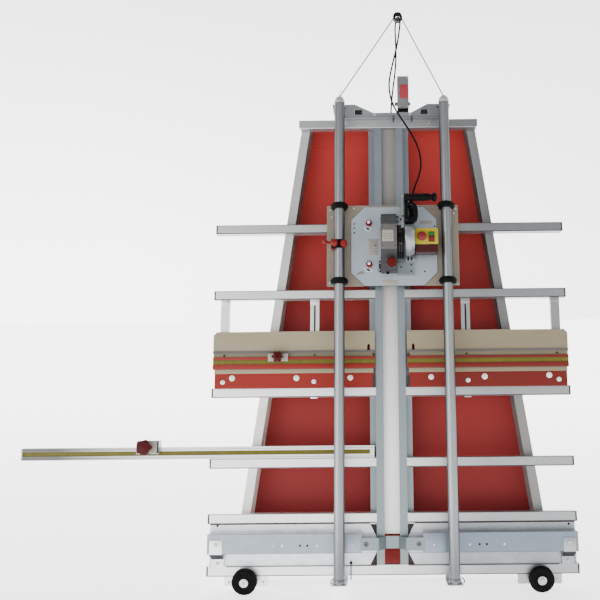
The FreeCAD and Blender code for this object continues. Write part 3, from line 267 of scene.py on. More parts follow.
NODE_FINISH = {node: finish for finish, names in (
    ("zinc_dull", "leg_left leg_right stand_beam stand_frame"),
    ("zinc", "crossbar upper_rails fence_rail low_rail ledge_rail bottom_rail end_brackets top_bracket "
             "tube_feet wheel_brackets fence_posts"),
    ("cap_red", "rail_end_caps"),
    ("zinc_blue", "column_left column_right link_strap saw_bracket"),
    ("strip", "backing_strip"),
    ("red_panel", "rear_panel"),
    ("galvanised", "ledge"),
    ("tube", "guide_tube_left guide_tube_right"),
    ("tube_end", "tube_caps"),
    ("rod", "cord_hanger"),
    ("box_grey", "junction_box"),
    ("beige", "fence_boards"),
    ("guard_grey", "fence_track"),
    ("fence_red", "fence_faces"),
    ("ruler", "ruler_bar"),
    ("steel", "frame_bolts hub_left hub_right"),
    ("black_rubber", "power_cord"),
    ("board", "carriage_board"),
    ("black_plastic", "guide_rings lock_clamp top_handle side_grip"),
    ("lock_red", "lock_knob"),
    ("table_zinc", "turntable_plate"),
    ("guard_dark", "blade_guard"),
    ("motor_cast", "saw_motor"),
    ("box_red", "switch_box"),
    ("knob_dark", "depth_knob"),
    ("blade", "saw_blade"),
    ("red_plastic", "index_pin_upper index_pin_lower fence_stop_knob ruler_stop_knob"),
    ("green", "start_button"),
    ("stop_red", "stop_button emergency_button"),
    ("aluminium", "fence_stop ruler_stop"),
    ("tyre", "tyre_left tyre_right"),
    ("iron", "counterweights"),
) for node in names.split()}
for name, thing in frame["nodes"].items():
    for place in thing.material_slots:
        place.link = "OBJECT"
        place.material = M[NODE_FINISH[name]]


# ---------------------------------------------------------------- mesh makers

BEND = 0.6        # edges that turn further than this, in radians, are broken
CREASE = 0.7      # and those that turn further than this are shaded sharp
AXES = {"right": (RIGHT, OUT, UP), "front": (OUT, RIGHT, UP), "up": (UP, RIGHT, OUT)}


def piece_of(name, data, material):
    """A mesh as a smooth object of one material."""
    made = bpy.data.objects.new(name, data)
    bpy.context.collection.objects.link(made)
    data.materials.clear()
    data.materials.append(M[material])
    for face in data.polygons:
        face.use_smooth = True
    return made


def finish_mesh(name, shape, material, body, edge=0.0):
    """Turn a bmesh into a piece, with its edges broken, that rides on a body."""
    bmesh.ops.remove_doubles(shape, verts=shape.verts, dist=1e-6)
    bmesh.ops.recalc_face_normals(shape, faces=shape.faces)
    if edge:
        sharp = [e for e in shape.edges if len(e.link_faces) == 2 and e.calc_face_angle(0) > BEND]
        bmesh.ops.bevel(shape, geom=sharp, offset=edge / 1000, segments=2, profile=0.6,
                        affect="EDGES", clamp_overlap=True)
    data = bpy.data.meshes.new(name)
    shape.to_mesh(data)
    shape.free()
    made = piece_of(name, data, material)
    data.set_sharp_from_angle(angle=CREASE)
    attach(made, body)
    return made


def prism(shape, loop, back, front, place=at):
    """Add a plate to a bmesh: a closed outline of (right, up) points between two depths."""
    near = [shape.verts.new(place(x, front, z)) for x, z in loop]
    far = [shape.verts.new(place(x, back, z)) for x, z in loop]
    shape.faces.new(near)
    shape.faces.new(list(reversed(far)))
    for i in range(len(loop)):
        j = (i + 1) % len(loop)
        shape.faces.new((near[j], near[i], far[i], far[j]))


def slab(name, loop, back, front, material, body, edge=0.5, place=at):
    """A plate with the outline given."""
    shape = bmesh.new()
    prism(shape, loop, back, front, place)
    return finish_mesh(name, shape, material, body, edge)


def cells(name, boxes, material, body, edge=0.0):
    """Boxes (x0, x1, back, front, z0, z1) as one object."""
    shape = bmesh.new()
    for x0, x1, back, front, z0, z1 in boxes:
        prism(shape, [(x0, z0), (x1, z0), (x1, z1), (x0, z1)], back, front)
    return finish_mesh(name, shape, material, body, edge)


def block(name, x0, x1, back, front, z0, z1, material, body, edge=0.8):
    return cells(name, [(x0, x1, back, front, z0, z1)], material, body, edge)


def lathe(name, centre, axis, profile, material, body, steps=40):
    """A turned piece: (radius, distance) pairs about an axis through centre.

    A profile that starts on the axis ends on it too. Any other is joined back to its first ring.
    """
    along, first, second = AXES[axis] if isinstance(axis, str) else axis
    shape = bmesh.new()
    rings = []
    for radius, distance in profile:
        ring = []
        for step in range(steps if radius else 1):
            angle = 2 * math.pi * step / steps
            spoke = first * math.cos(angle) + second * math.sin(angle)
            ring.append(shape.verts.new(centre + (along * distance + spoke * radius) / 1000))
        rings.append(ring)
    if profile[0][0]:
        rings.append(rings[0])
    for one, two in zip(rings, rings[1:]):
        for step in range(steps):
            following = (step + 1) % steps
            if len(one) == 1:
                shape.faces.new((one[0], two[step], two[following]))
            elif len(two) == 1:
                shape.faces.new((one[step], one[following], two[0]))
            else:
                shape.faces.new((one[step], one[following], two[following], two[step]))
    return finish_mesh(name, shape, material, body)


def join(name, pieces):
    """Several pieces of one material and body as one object."""
    keep = pieces[0]
    for piece in pieces[1:]:
        data = bmesh.new()
        data.from_mesh(keep.data)
        data.from_mesh(piece.data)
        data.to_mesh(keep.data)
        data.free()
        bpy.data.objects.remove(piece, do_unlink=True)
    keep.name = name


def screws(name, spots, front, radius, material, body, height=3.0, socket=True):
    """Round screw heads, or rivets where there is no socket, facing the front."""
    profile = [(0, 0), (radius, 0), (radius, height * 0.55), (radius * 0.8, height)]
    if socket:
        profile += [(radius * 0.45, height), (radius * 0.45, height * 0.4), (0, height * 0.4)]
    else:
        profile += [(0, height * 1.08)]
    join(name, [lathe("%s_%d" % (name, index), at(x, front, z), "front", profile, material, body, 20)
                for index, (x, z) in enumerate(spots)])


def spline(name, points, smooth=True):
    """A NURBS curve, or a bent line, with control points along the leaning frame."""
    curve = bpy.data.curves.new(name, "CURVE")
    curve.dimensions = "3D"
    curve.resolution_u = 12
    line = curve.splines.new("NURBS" if smooth else "POLY")
    line.points.add(len(points) - 1)
    for knot, point in zip(line.points, points):
        knot.co = (*at(*point), 1)
    if smooth:
        line.order_u = 3
        line.use_endpoint_u = True
    made = bpy.data.objects.new(name, curve)
    bpy.context.collection.objects.link(made)
    return made


def mesh_of(curve):
    """A curve object's mesh as it stands."""
    bpy.context.view_layer.update()
    graph = bpy.context.evaluated_depsgraph_get()
    return bpy.data.meshes.new_from_object(curve.evaluated_get(graph))


def tube(name, curve, radius, detail, material):
    """A round closed tube of a radius in millimetres in place of its curve."""
    curve.data.bevel_depth = radius / 1000
    curve.data.bevel_resolution = detail
    curve.data.use_fill_caps = True
    data = mesh_of(curve)
    bpy.data.objects.remove(curve, do_unlink=True)
    return piece_of(name, data, material)


def wire(name, points, radius, material, body, smooth=True):
    """A round wire along control points."""
    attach(tube(name, spline(name, points, smooth), radius, 3, material), body)


# ---------------------------------------------------------------- camera, floor and light

def build_camera():
    camera = bpy.data.cameras.new("camera")
    camera.lens = 43.2
    camera.sensor_width = 36
    camera.shift_x = -86 / 600    # in widths of the picture, which is 600 pixels wide
    camera.clip_start = 0.1
    camera.clip_end = 60
    eye = bpy.data.objects.new("camera", camera)
    bpy.context.collection.objects.link(eye)
    right = Vector((0.99994509, 0.00237954, -0.01020556))
    up = Vector((0.01008154, 0.0473284, 0.99882851))
    back = Vector((0.00285977, -0.99887655, 0.04730181))
    turn = Matrix((right, up, back)).transposed()
    eye.matrix_world = Matrix.Translation(Vector((0.387286, -3.209048, 1.319095))) @ turn.to_4x4()
    bpy.context.scene.camera = eye


def build_floor():
    """A plain pale floor that glows more towards the back."""
    shape = bmesh.new()
    bmesh.ops.create_grid(shape, x_segments=2, y_segments=2, size=14)
    data = bpy.data.meshes.new("floor")
    shape.to_mesh(data)
    shape.free()
    floor = bpy.data.objects.new("floor", data)
    bpy.context.collection.objects.link(floor)
    pale = bpy.data.materials.new("floor_pale")
    pale.use_nodes = True
    tree = pale.node_tree
    shader = tree.nodes["Principled BSDF"].inputs
    shader["Base Color"].default_value = (0.95, 0.95, 0.95, 1)
    shader["Roughness"].default_value = 0.85
    shader["Emission Color"].default_value = (1, 1, 1, 1)
    depth = split(tree, add(tree, "NewGeometry").outputs["Position"])["Y"]
    tree.links.new(ranged(tree, depth, -1.0, 3.5, 1.8, 3.9), shader["Emission Strength"])
    data.materials.append(pale)


def build_sky():
    """White light that is strong from the back and from low on the left."""
    world = bpy.data.worlds.new("studio")
    bpy.context.scene.world = world
    world.use_nodes = True
    tree = world.node_tree
    sky = tree.nodes["Background"].inputs
    sky["Color"].default_value = (1.0, 1.0, 1.0, 1)
    way = split(tree, add(tree, "TexCoord").outputs["Generated"])
    level = ranged(tree, way["Y"], -0.1, 0.6, 0.55, 3.1)
    low = ranged(tree, way["Z"], 0.0, 0.42, 3.0, 0.0)
    left = ranged(tree, way["X"], -0.35, 0.35, 1.0, 0.4)
    glow = add(tree, "Math", {0: low, 1: left, 2: level}, "MULTIPLY_ADD")
    tree.links.new(glow.outputs["Value"], sky["Strength"])


def build_lamp(name, where, aim, size, power):
    """A rectangular lamp in metres and watts, turned towards its aim."""
    light = bpy.data.lights.new(name, "AREA")
    light.shape = "RECTANGLE"
    light.size, light.size_y = size
    light.energy = power
    made = bpy.data.objects.new(name, light)
    bpy.context.collection.objects.link(made)
    made.location = where
    made.rotation_euler = (Vector(aim) - Vector(where)).to_track_quat("-Z", "Y").to_euler()


build_camera()
build_floor()
build_sky()
build_lamp("key", (-2.2, -3.4, 2.6), (0.3, 0, 1.0), (2.4, 2.4), 35)
build_lamp("low_left", (-2.4, -2.6, 0.7), (0.0, -0.2, 0.4), (1.6, 1.2), 14)
build_lamp("fill", (3.2, -3.2, 2.2), (0.5, 0, 1.1), (2.5, 2.5), 10)
build_lamp("rim", (0.5, 3.4, 3.2), (0.4, 0.3, 1.2), (3, 2), 10)

# ---------------------------------------------------------------- cord

# The cord's route, split above the saw's handle and again at the hanger.
CORD = 7.5    # diameter
HANDLE_RUN = [(93, 150, 1526), (103, 150, 1582), (128, 150, 1640), (134, 150, 1670)]
FRONT_RUN = [(134, 150, 1670), (140, 150, 1700), (129, 150, 1764), (102, 150, 1828), (58, 149, 1898),
             (16, 148, 1970), (2, 148, 2055), (18, 149, 2140), (40, 150, 2225), (52, 152, 2300),
             (58, 142, 2362), (54, 123, 2381)]
REAR_RUN = [(54, 123, 2381), (50, 104, 2400), (42, 66, 2417), (36, 32, 2400), (37, 18, 2350),
            (40, 13, 2270), (35, 10, 2190), (24, 6, 2110), (16, 0, 2040), (13, -28, 1992),
            (11, -64, 1940), (4, -72, 1860), (-4, -74, 1770), (-9, -76, 1680), (-12, -78, 1590),
            (-11, -80, 1520), (-9, -81, 1470), (-8, -82, 1422.6), (16.6, -83, 1398), (51.4, -83, 1398),
            (76, -82, 1422.6), (77, -81, 1470), (76, -80, 1520), (75, -80, 1590), (74, -78, 1680),
            (71, -74, 1770), (69, -68, 1860), (68, -58, 1950), (69, -50, 2020)]


def cord_piece(name, points, bodies):
    """One stretch of the power cord as a mesh tube along its spline; a stretch between two bodies stays fixed
    where it lies.
    """
    curve = spline(name + "_line", points)
    path = [vertex.co.copy() for vertex in mesh_of(curve).vertices]
    made = tube(name, curve, CORD / 2, 5, "black_rubber")
    if len(bodies) == 2:
        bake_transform(made)
    else:
        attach(made, bodies[0])
    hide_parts("power_cord")


cord_piece("cord_at_handle", HANDLE_RUN, ("turntable", "carriage"))
cord_piece("cord_front", FRONT_RUN, ("carriage", "frame"))
cord_piece("cord_rear", REAR_RUN, ("frame",))

# ---------------------------------------------------------------- red panel's upper hem, painted shade along the rails' edges

slab("panel_hem", [(-385, 1888), (385, 1888), (372, 1977), (-372, 1977)], -141.5, -140.6, "red_panel",
     "frame", 0)
# Thin dark strips of painted shade along each rail's edges and at its ends.
for word, height in (("ledge", 206), ("low", 429.3), ("fence", 722.4), ("mid", 1142.5), ("high", 1436.8)):
    strips = []
    for low, high in ((-RAIL_END, -RAIL_GAP), (RAIL_GAP, RAIL_END)):
        strips += [(low, high, 0, PROUD, height + 0.2, height + 4),
                   (low, high, 0, PROUD, height + 37.4, height + 39.8)]
    strips += [(x, x + 3.8, 0, PROUD, height + 4, height + 37.4) for x in (-758.8, 755)]
    cells("rail_edges_" + word, strips, "rail_edge", "frame")
cells("rail_edges_bottom", [(-RAIL_END, RAIL_END, 0, PROUD, 0.3, 3.4), (-758.8, -755, 0, PROUD, 3.4, 39),
                            (755, 758.8, 0, PROUD, 3.4, 39)], "rail_edge", "frame")

# ---------------------------------------------------------------- mid-fence

TAPE_LOW, TAPE_HIGH = 861.3, 879.7


def marks(name, start, count, front, top):
    """A tape's scale: a line every 10 mm, longer at every fifth."""
    cells(name, [(start + 10 * i, start + 0.7 + 10 * i, front, front + 0.15, top - (5 if i % 5 else 9), top)
                 for i in range(count)], "tape_mark", "frame")


for word, left, right in (("left", -753.5, -66), ("right", 70, 753.5)):
    block("fence_red_low_" + word, left + 0.3, right - 0.3, 29, 29.8, 841, 860.6, "fence_red", "frame", 0.3)
    block("fence_red_high_" + word, left + 0.3, right - 0.3, 29, 29.8, 880.3, 890.6, "fence_red", "frame",
          0.3)
    block("fence_tape_" + word, left + 0.5, right - 0.5, 25, 25.8, TAPE_LOW, TAPE_HIGH, "tape", "frame", 0.2)
    block("fence_lining_" + word, left + 0.5, right - 0.5, 19, 19.7, 891, 907.4, "lining", "frame", 0.2)
    block("fence_band_" + word, left + 7.2, right - 7.2, 24, 24.8, 822, 839.4, "beige", "frame", 0.3)
    marks("fence_marks_" + word, left + 3, int((right - left) // 10), 25.8, TAPE_HIGH)
    # Painted shade in the notches at the fence faces' inner ends.
    inner = right - 11.6 if word == "left" else left + 0.4
    cells("fence_notches_" + word,
          [(inner, inner + 11.2, face, face + PROUD, *height) for face, height in (
              (17, (763, 807)), (19.7, (892, 905.5)))], "rail_edge", "frame")
    block("fence_skirt_" + word, left + 7.4, right - 7.4, 15, 16.8, 759.5, 771, "fence_red", "frame", 0.3)
    block("fence_lip_" + word, left + 0.4, right - 0.4, 25, 26, 906.9, 917.4, "lining", "frame", 0.4)
BUTTONS = [(-672, 804, 12.5), (-399, 802, 12.5), (-171.5, 802, 12), (171, 802, 12), (397.5, 802, 12.5),
           (670, 805, 12.5), (-711, 787, 10), (-325, 787, 10), (327, 787, 10), (711, 787, 10)]
for index, (x, z, radius) in enumerate(BUTTONS):
    lathe("fence_button_%d" % index, at(x, 17, z), "front",
          [(0, 0), (radius, 0), (radius, 2.2), (radius * 0.86, 4.2), (radius * 0.45, 5.4), (0, 5.8)],
          "button_white", "frame", 32)
screws("track_bolts", [(x, 899) for x in (-707, -322.6, 322.6, 707)], 19.7, 4, "dark_line", "frame", 4)
for index, x in enumerate((-712, -325, 325, 712)):
    block("post_collar_%d" % index, x - 19.4, x + 19.4, -20.4, 0.7, 1120, 1142, "zinc", "frame", 0.6)
    block("post_foot_%d" % index, x - 19.4, x + 19.4, -20.4, 0.7, 763, 764.6, "zinc", "frame", 0.3)
# The two middle posts' slots as dark strips of painted shade.
cells("post_slots", [(x - 3.4, x + 3.4, 0, 0.3, 930, 1117) for x in (-325, 325)], "dark_line", "frame")
for index, x in enumerate((-327, 327)):
    block("fence_tab_%d" % index, x - 14, x + 14, -30, -6, 716.5, 722.2, "zinc", "frame", 1.2)

# ---------------------------------------------------------------- ruler bar and stops

block("ruler_tape", -1552, -67, -4, -3.2, 485.6, 503, "tape", "frame", 0.2)
marks("ruler_marks", -1550, 148, -3.2, 503)
# The ruler bar's two grooves as dark lines of painted shade.
cells("ruler_grooves", [(-1552, -67, 0, PROUD, 510.5, 511.5), (-1552, -67, 0, PROUD, 475.5, 476.4)],
      "dark_line", "frame")
block("ruler_right_end", -72, -66.2, -23, 2, 470, 518.6, "black_plastic", "frame", 0.8)
block("ruler_left_end", -1552.8, -1547, -23, 0.6, 470, 518.8, "tube_end", "frame", 0.5)
block("ruler_stop_cheek", -978.5, -972.2, 0.6, 16.5, 496, 546.8, "dark_line", "ruler_slider", 0.8)
block("ruler_stop_face", -1063, -980, 14.3, 15.6, 495, 545.5, "plate_bare", "ruler_slider", 0.5)
lathe("ruler_knob_cap", at(-1028, 41.2, 520.3), "front",
      [(0, 0), (27, 0), (29, 0.8), (27.5, 2.4), (21, 3.2), (12, 3.4), (9, 4.5), (0, 4.8)], "knob_dark",
      "ruler_screw", 40)
lathe("ruler_knob_washer", at(-1028, 15.7, 520.3), "front",
      [(7.2, 0), (13, 0), (13, 1.6), (7.2, 1.6)], "steel", "ruler_slider", 32)
lathe("fence_knob_cap", at(-476, 64.3, 891), "front",
      [(0, 0), (16, 0), (17.4, 0.8), (15.5, 2.2), (5, 2.6), (4.5, 1), (0, 0.9)], "knob_dark",
      "fence_screw", 36)
lathe("fence_knob_centre", at(-476, 66, 891), "front", [(0, 0), (4.2, 0), (4, 0.6), (0, 0.8)],
      "black_plastic", "fence_screw", 24)
block("fence_stop_face", -516, -436, 37.3, 38.3, 875, 902, "plate_bare", "fence_slider", 0.5)

# ---------------------------------------------------------------- ledge

# Holes and rivets along the ledge's face, each with its radius. The holes are dark discs of painted shade.
HOLES = [(-374.6, 4.4), (-345, 4.4), (352.2, 4.4), (381, 4.4)]
RIVETS = [(-446, 5.6), (-306, 5.2), (-161.7, 4.2), (169, 3.6), (313.5, 4.4), (452.7, 4.4), (-486, 3.2)]
for index, (x, radius) in enumerate(HOLES + RIVETS):
    front = LEDGE_FACE + (1.4 if 132 < x < 224 else 0)
    lathe("ledge_spot_%d" % index, at(x, front, 125), "front",
          [(0, 0), (radius, 0), (radius, 0.5), (radius * 0.7, 1.1), (0, 1.3)],
          "dark_line" if index < len(HOLES) else "button_white", "frame", 28)
# Two more holes as dark discs of painted shade.
for index, (x, z) in enumerate(((-721.6, 199), (727, 195))):
    lathe("ledge_hole_%d" % index, at(x, -5, z), "front", [(0, 0), (5, 0), (5, 0.5), (0, 0.6)],
          "dark_line", "frame", 24)
for word, side in (("left", -1), ("right", 1)):
    for name, front, tint, loop in (
            ("ledge_cheek_", -5.2, "galvanised", ((128, 203.8), (95, 203.8), (66, 152), (66, 90), (95, 38),
                                                  (128, 38))),
            # Dark triangles of painted shade in the openings beside the column.
            ("gap_shade_high_", -6.2, "rail_edge", ((94, 203.6), (RAIL_GAP, 203.6), (RAIL_GAP, 152))),
            ("gap_shade_low_", -6.2, "rail_edge", ((94, 40.2), (RAIL_GAP, 40.2), (RAIL_GAP, 90)))):
        slab(name + word, [(side * x, z) for x, z in loop], front - 0.8, front, tint, "frame", 0)
block("ledge_plate_right", 132, 224, LEDGE_FACE, 43.4, 96, 169.5, "galvanised", "frame", 0.6)
block("ledge_plate_left", -224, -127.5, LEDGE_FACE, 43.0, 96, 169.5, "galvanised", "frame", 0.5)
# Painted shade: thin dark lines along the ledge's folds and where it meets the rails.
SHADE_DEPTH = (LEDGE_FACE, LEDGE_FACE + 0.12)
cells("ledge_seams", [(-752, -64, *SHADE_DEPTH, 170.6, 171.6), (64, 752, *SHADE_DEPTH, 170.6, 171.6),
                      (-752, -64, *SHADE_DEPTH, 94.4, 95.3), (64, 752, *SHADE_DEPTH, 94.4, 95.3),
                      (-752, -92, -5, -4.85, 202, 205.8), (92, 752, -5, -4.85, 202, 205.8),
                      (-680, -64, 0, 0.3, 36.4, 39.8), (64, 680, 0, 0.3, 36.4, 39.8)], "rail_edge", "frame")


def on_slope(x, front, z):
    """A point on the end bracket's slanting web, z running from its lower edge to its upper one."""
    return at(x, 2 + 42 * z + front * 0.51, 68 + 25.5 * z - front * 0.86)


CLIP_RIGHT = 716
for word, side in (("left", -1), ("right", 1)):
    middle = side * CLIP_RIGHT
    # Painted shade: a dark plate on the end bracket's slanting web.
    web = [(middle - 24, 0.03), (middle + 24, 0.03), (middle + 27, 0.97), (middle - 27, 0.97)]
    slab("clip_web_" + word, web, 0.1, 0.8, "dark_line", "frame", 0, on_slope)
    block("clip_face_" + word, middle - 25, middle + 25, 44, 44.8, 97, 148, "zinc", "frame", 1.5)
    screws("clip_screw_" + word, [(middle, 132)], 48, 5.5, "steel", "frame", 1.6)
    screws("clip_low_screw_" + word, [(middle, 52)], 6, 5, "steel", "frame", 1.6)
for word, x in (("left", -107), ("right", 107)):
    lathe("strap_washer_" + word, at(x, 45.02, 128.5), "front", [(6.1, 0), (9.8, 0), (9.8, 0.3), (6.1, 0.3)],
          "dark_line", "frame", 32)
    lathe("strap_socket_" + word, at(x, 45.6, 128.5), "front", [(0, 0), (5.4, 0), (5.4, 0.15), (0, 0.15)],
          "dark_line", "frame", 6)
wire("floor_pin", [(-170, 4, 46), (-170, 4.5, 20), (-170, 4, -12)], 2.2, "slate", "frame")
lathe("floor_pin_head", at(-170, 4, 46), "up", [(0, -2), (5, 0), (6.2, 4), (5, 8), (0, 10)], "dark_line",
      "frame", 24)
lathe("floor_pin_tip", at(-170, 4, -14), "up", [(0, -1), (3.4, 0), (3.6, 6), (2.4, 8), (0, 8)], "slate",
      "frame", 20)
wire("hook_left", [(-236, 74, 4), (-242, 74, 0), (-247, 75, -7), (-246, 78, -14), (-241, 80, -13)], 2.2,
     "dark_line", "frame")
wire("hook_right", [(272, 74, 4), (278, 74, 2), (284, 75, -5), (284, 78, -13), (279, 80, -15)], 2.2,
     "dark_line", "frame")
for word, x in TUBES:
    lathe("tube_ring_" + word, at(x, TUBE_FRONT, -14.5), "up",
          [(19, 0), (23.2, 0), (23.6, 1), (23.6, 18), (22.6, 20), (19, 20)], "tube", "frame", 48)
    # The tube's bore as a dark disc of painted shade.
    lathe("tube_bore_" + word, at(x, TUBE_FRONT, -14.8), "up", [(0, 0), (19, 0), (19, 1), (0, 1)],
          "dark_line", "frame")
    lathe("tube_collar_" + word, at(x, TUBE_FRONT, 1998), "up",
          [(19, 0), (22.7, 0), (23.3, 1), (23.3, 8), (22.4, 9), (19, 9)], "tube_end", "frame", 48)
    lathe("cap_boss_" + word, at(x, TUBE_FRONT, 2026), "up", [(0, 0), (7, 0), (6.4, 5.5), (4, 7), (0, 7)],
          "tube_end", "frame", 24)

# ---------------------------------------------------------------- top bracket, hanger and junction box

for word, left, right in (("left", -150.5, -114.6), ("right", 146, 180)):
    block("bow_plug_" + word, left + 0.3, right - 0.3, 17, 21.4, 1976.3, 1997.7, "dark_line", "frame", 0.6)
# Painted shade along the bow's fold.
cells("bow_fold", [(-238, 266, 22.5, 22.7, 1964, 1965.2)], "slate", "frame")
screws("bow_screws", [(-233, 1985), (262, 1985), (-195, 2008), (222, 2008)], 22.5, 4.5, "slate", "frame", 2.6)
for index, x in enumerate((24, 106)):
    wire("bracket_bolt_%d" % index, [(x, 26, z) for z in (1940, 1955, 1969)], 3.2, "slate", "frame", False)
    lathe("bracket_nut_%d" % index, at(x, 26, 1951), "up", [(0, 0), (6, 0), (6, 5), (0, 5)], "slate",
          "frame", 6)
block("top_flange", -196, 221, 0, 1.6, 1928.5, 1961.5, "zinc", "frame", 0.6)
cells("top_flange_lines", [(-195, 220, 1.6, 1.75, 1957.6, 1958.6), (-195, 220, 1.6, 1.75, 1931, 1931.8)],
      "slate", "frame")
screws("top_flange_screws", [(x, 1944) for x in (-186, -60, 62, 186)], 1.6, 3.6, "steel", "frame", 2)
wire("stub_wire", [(-213, 94, 2028), (-213, 94, 2040), (-208, 94, 2052), (-201, 94, 2062)], 1.4,
     "tube_end", "frame")
HANGER = at(47, TUBE_FRONT, 2405)
lathe("hanger_sleeve", HANGER, "front",
      [(13.2, -14), (20.0, -14), (20.5, -12), (20.4, 9), (19.7, 12), (18.6, 14), (13.2, 14)],
      "black_rubber", "frame", 48)
lathe("hanger_band", HANGER, "front",
      [(20, -4), (21.2, -4), (21.2, 4), (20, 4)], "slate", "frame", 48)
block("junction_lid", 44.5, 93.5, -12, -10.6, 2023, 2173, "box_grey", "frame", 1.0)
block("junction_plate", 54, 92, -10.6, -10.0, 2066, 2135, "plate_red", "frame", 0.4)
block("junction_seal", 44, 94, -60, -13, 2003, 2019.8, "black_rubber", "frame", 2)
cells("junction_ears", [(30.5, 43, -42, -28, 2044, 2057), (95, 103, -42, -28, 2044, 2057)], "box_grey",
      "frame", 1.5)
screws("junction_screws", [(49, 2028), (89, 2028), (49, 2167), (89, 2167)], -10.6, 2.6, "steel", "frame", 1.4)
lathe("junction_gland", at(69, -49.6, 2012), "up", [(3.9, 0), (8, 0), (9.5, 2), (9.5, 7.5), (3.9, 7.5)],
      "black_plastic", "frame", 8)
lathe("inlet_gland", at(56, -40, 2176), "up", [(0, 0), (9, 0), (9, 4), (6.5, 9), (0, 9)],
      "black_plastic", "frame", 24)

# ---------------------------------------------------------------- carriage and turntable

screws("carriage_screws", [(-255, 1524), (288, 1526), (-153, 1531), (213, 1531), (-248, 1493), (280, 1505),
                           (-257, 1202), (289, 1194), (-230, 1197), (262, 1200)], BOARD_FACE, 4.6, "steel",
       "carriage")
EDGE = (BOARD_FACE, BOARD_FACE + PROUD)
cells("carriage_edges", [(-268.6, 297.6, *EDGE, 1188.6, 1190.2), (-268.6, 297.6, *EDGE, 1541, 1542.4),
                         (-268.8, -267.4, *EDGE, 1190, 1541), (296.4, 297.8, *EDGE, 1190, 1541)],
      "plate_bare", "carriage")


def octagon(grow):
    """The turntable's outline, grown evenly."""
    wide, tall, corner = 184 + grow, 173 + grow, 57 + grow * 0.6
    loop = [(corner - wide, -tall), (wide - corner, -tall), (wide, corner - tall), (wide, tall - corner),
            (wide - corner, tall), (corner - wide, tall), (-wide, tall - corner), (-wide, corner - tall)]
    return [(PIVOT_RIGHT + x, PIVOT_UP + z) for x, z in loop]


slab("table_shadow", octagon(1.6), 55.05, 55.9, "dark_line", "turntable", 0)
screws("table_dots", [(-151, 1460), (-151, 1442), (-151, 1421), (195, 1446), (-60, 1364), (150, 1248)],
       PLATE_FACE, 3.6, "dark_line", "turntable", 1.6)
screws("table_rivets", [(-39, 1518), (-102, 1360), (79, 1518), (-120, 1222), (160, 1222)],
       PLATE_FACE, 3.0, "steel", "turntable", 1.4, False)
LABEL = (PLATE_FACE, PLATE_FACE + 0.8)
block("plate_middle", -89, -48, *LABEL, 1321, 1393, "plate_bare", "turntable", 0.3)
cells("plate_middle_lines", [(-86, -51, 60.8, 60.9, z, z + 1.2) for z in range(1330, 1381, 10)],
      "guard_grey", "turntable")
block("plate_low", -29, 34, *LABEL, 1190.5, 1212, "plate_bare", "turntable", 0.3)
slab("plate_corner", [(-141, 1237), (-112, 1240), (-107, 1249), (-121, 1252), (-138, 1244)], *LABEL,
     "board", "turntable", 0.3)
block("plate_right", 132, 184, *LABEL, 1456, 1472, "plate_bare", "turntable", 0.3)
for word, x, z in (("upper", -88, 1462), ("lower", -87, 1281)):
    lathe("pin_cap_" + word, at(x, 82.3, z), "front",
          [(0, 0), (6.6, 0), (7.2, 1.6), (7.2, 3.4), (5.6, 5.6), (0, 6.6)], "pale_knob", word + "_pin")
    lathe("pin_flange_" + word, at(x, 66.4, z), "front",
          [(5, 0), (12.6, 0), (13.4, 1.2), (13.4, 5.2), (12, 6.4), (5, 6.4)], "lock_red", word + "_pin", 40)
    lathe("pin_skirt_" + word, at(x, 60.1, z), "front",
          [(4.4, 0), (11, 0), (11, 3), (8.5, 5.8), (4.4, 5.8)], "steel", "turntable", 32)
    foot = [(x - 21, z - 20), (x - 8, z - 34), (x + 18, z - 30), (x + 12, z - 14), (x - 14, z - 10)]
    slab("pin_foot_" + word, foot, PLATE_FACE, 63, "steel", "turntable", 0.8)
    slab("pin_shade_" + word, [(x - 16, z - 21), (x - 6, z - 31), (x + 6, z - 29), (x - 4, z - 19)], 63, 63.6,
         "slate", "turntable", 0.2)
    lathe("bush_" + word, at(x, 55.06, z), "front", [(4.6, 0), (13.6, 0), (13.6, 0.8), (4.6, 0.8)], "slate",
          "carriage", 32)

# Lock: the fixed lobe beside the lever, its bridge, and the lever's caps.
lathe("lock_lobe", at(-193.5, 100, 1361), "front",
      [(0, 0), (13, 0), (15.5, 2), (16, 8), (15, 24), (11, 29), (0, 31)], "lock_red", "carriage", 36)
cells("lock_bridge", [(-246, -181, 116, 121.7, 1353, 1369)], "lock_red", "carriage", 2)
lathe("lock_cap", at(-232, 137.3, 1360), "front",
      [(0, 0), (12.5, 0), (14.4, 1.5), (14, 4), (10, 7), (0, 8.4)], "lock_red", "lock", 36)
lathe("lock_ball_cap", at(-271, 131, 1363), "front",
      [(0, 0), (8, 0), (9, 2.5), (7.5, 6), (4, 8.4), (0, 9)], "pale_knob", "lock", 32)
lathe("lock_grub", at(-237, 111, 1343), "up", [(0, -12), (3.4, -12), (4.6, -9), (4.6, -2), (3, 0), (0, 0)],
      "lock_red", "carriage", 20)

# ---------------------------------------------------------------- guide rings

for index, (x, z) in enumerate((x, z) for word, x in TUBES for z in (1190, 1517)):
    lathe("ring_lip_%d" % index, at(x, TUBE_FRONT, z + 6), "up",
          [(31, 0), (36.2, 1.5), (37.4, 5), (37.4, 8), (36.2, 11), (31, 12.5)], "black_rubber",
          "carriage", 56)
    lathe("ring_wiper_%d" % index, at(x, TUBE_FRONT, z + 23.8), "up",
          [(22.6, 0), (28, 0), (26, 3.4), (22.6, 4)], "black_rubber", "carriage", 48)

# ---------------------------------------------------------------- saw

SHAFT = at(0, 130, 1370)    # the motor's axis
RING = at(0, 130, 1353)     # the gear ring's axis
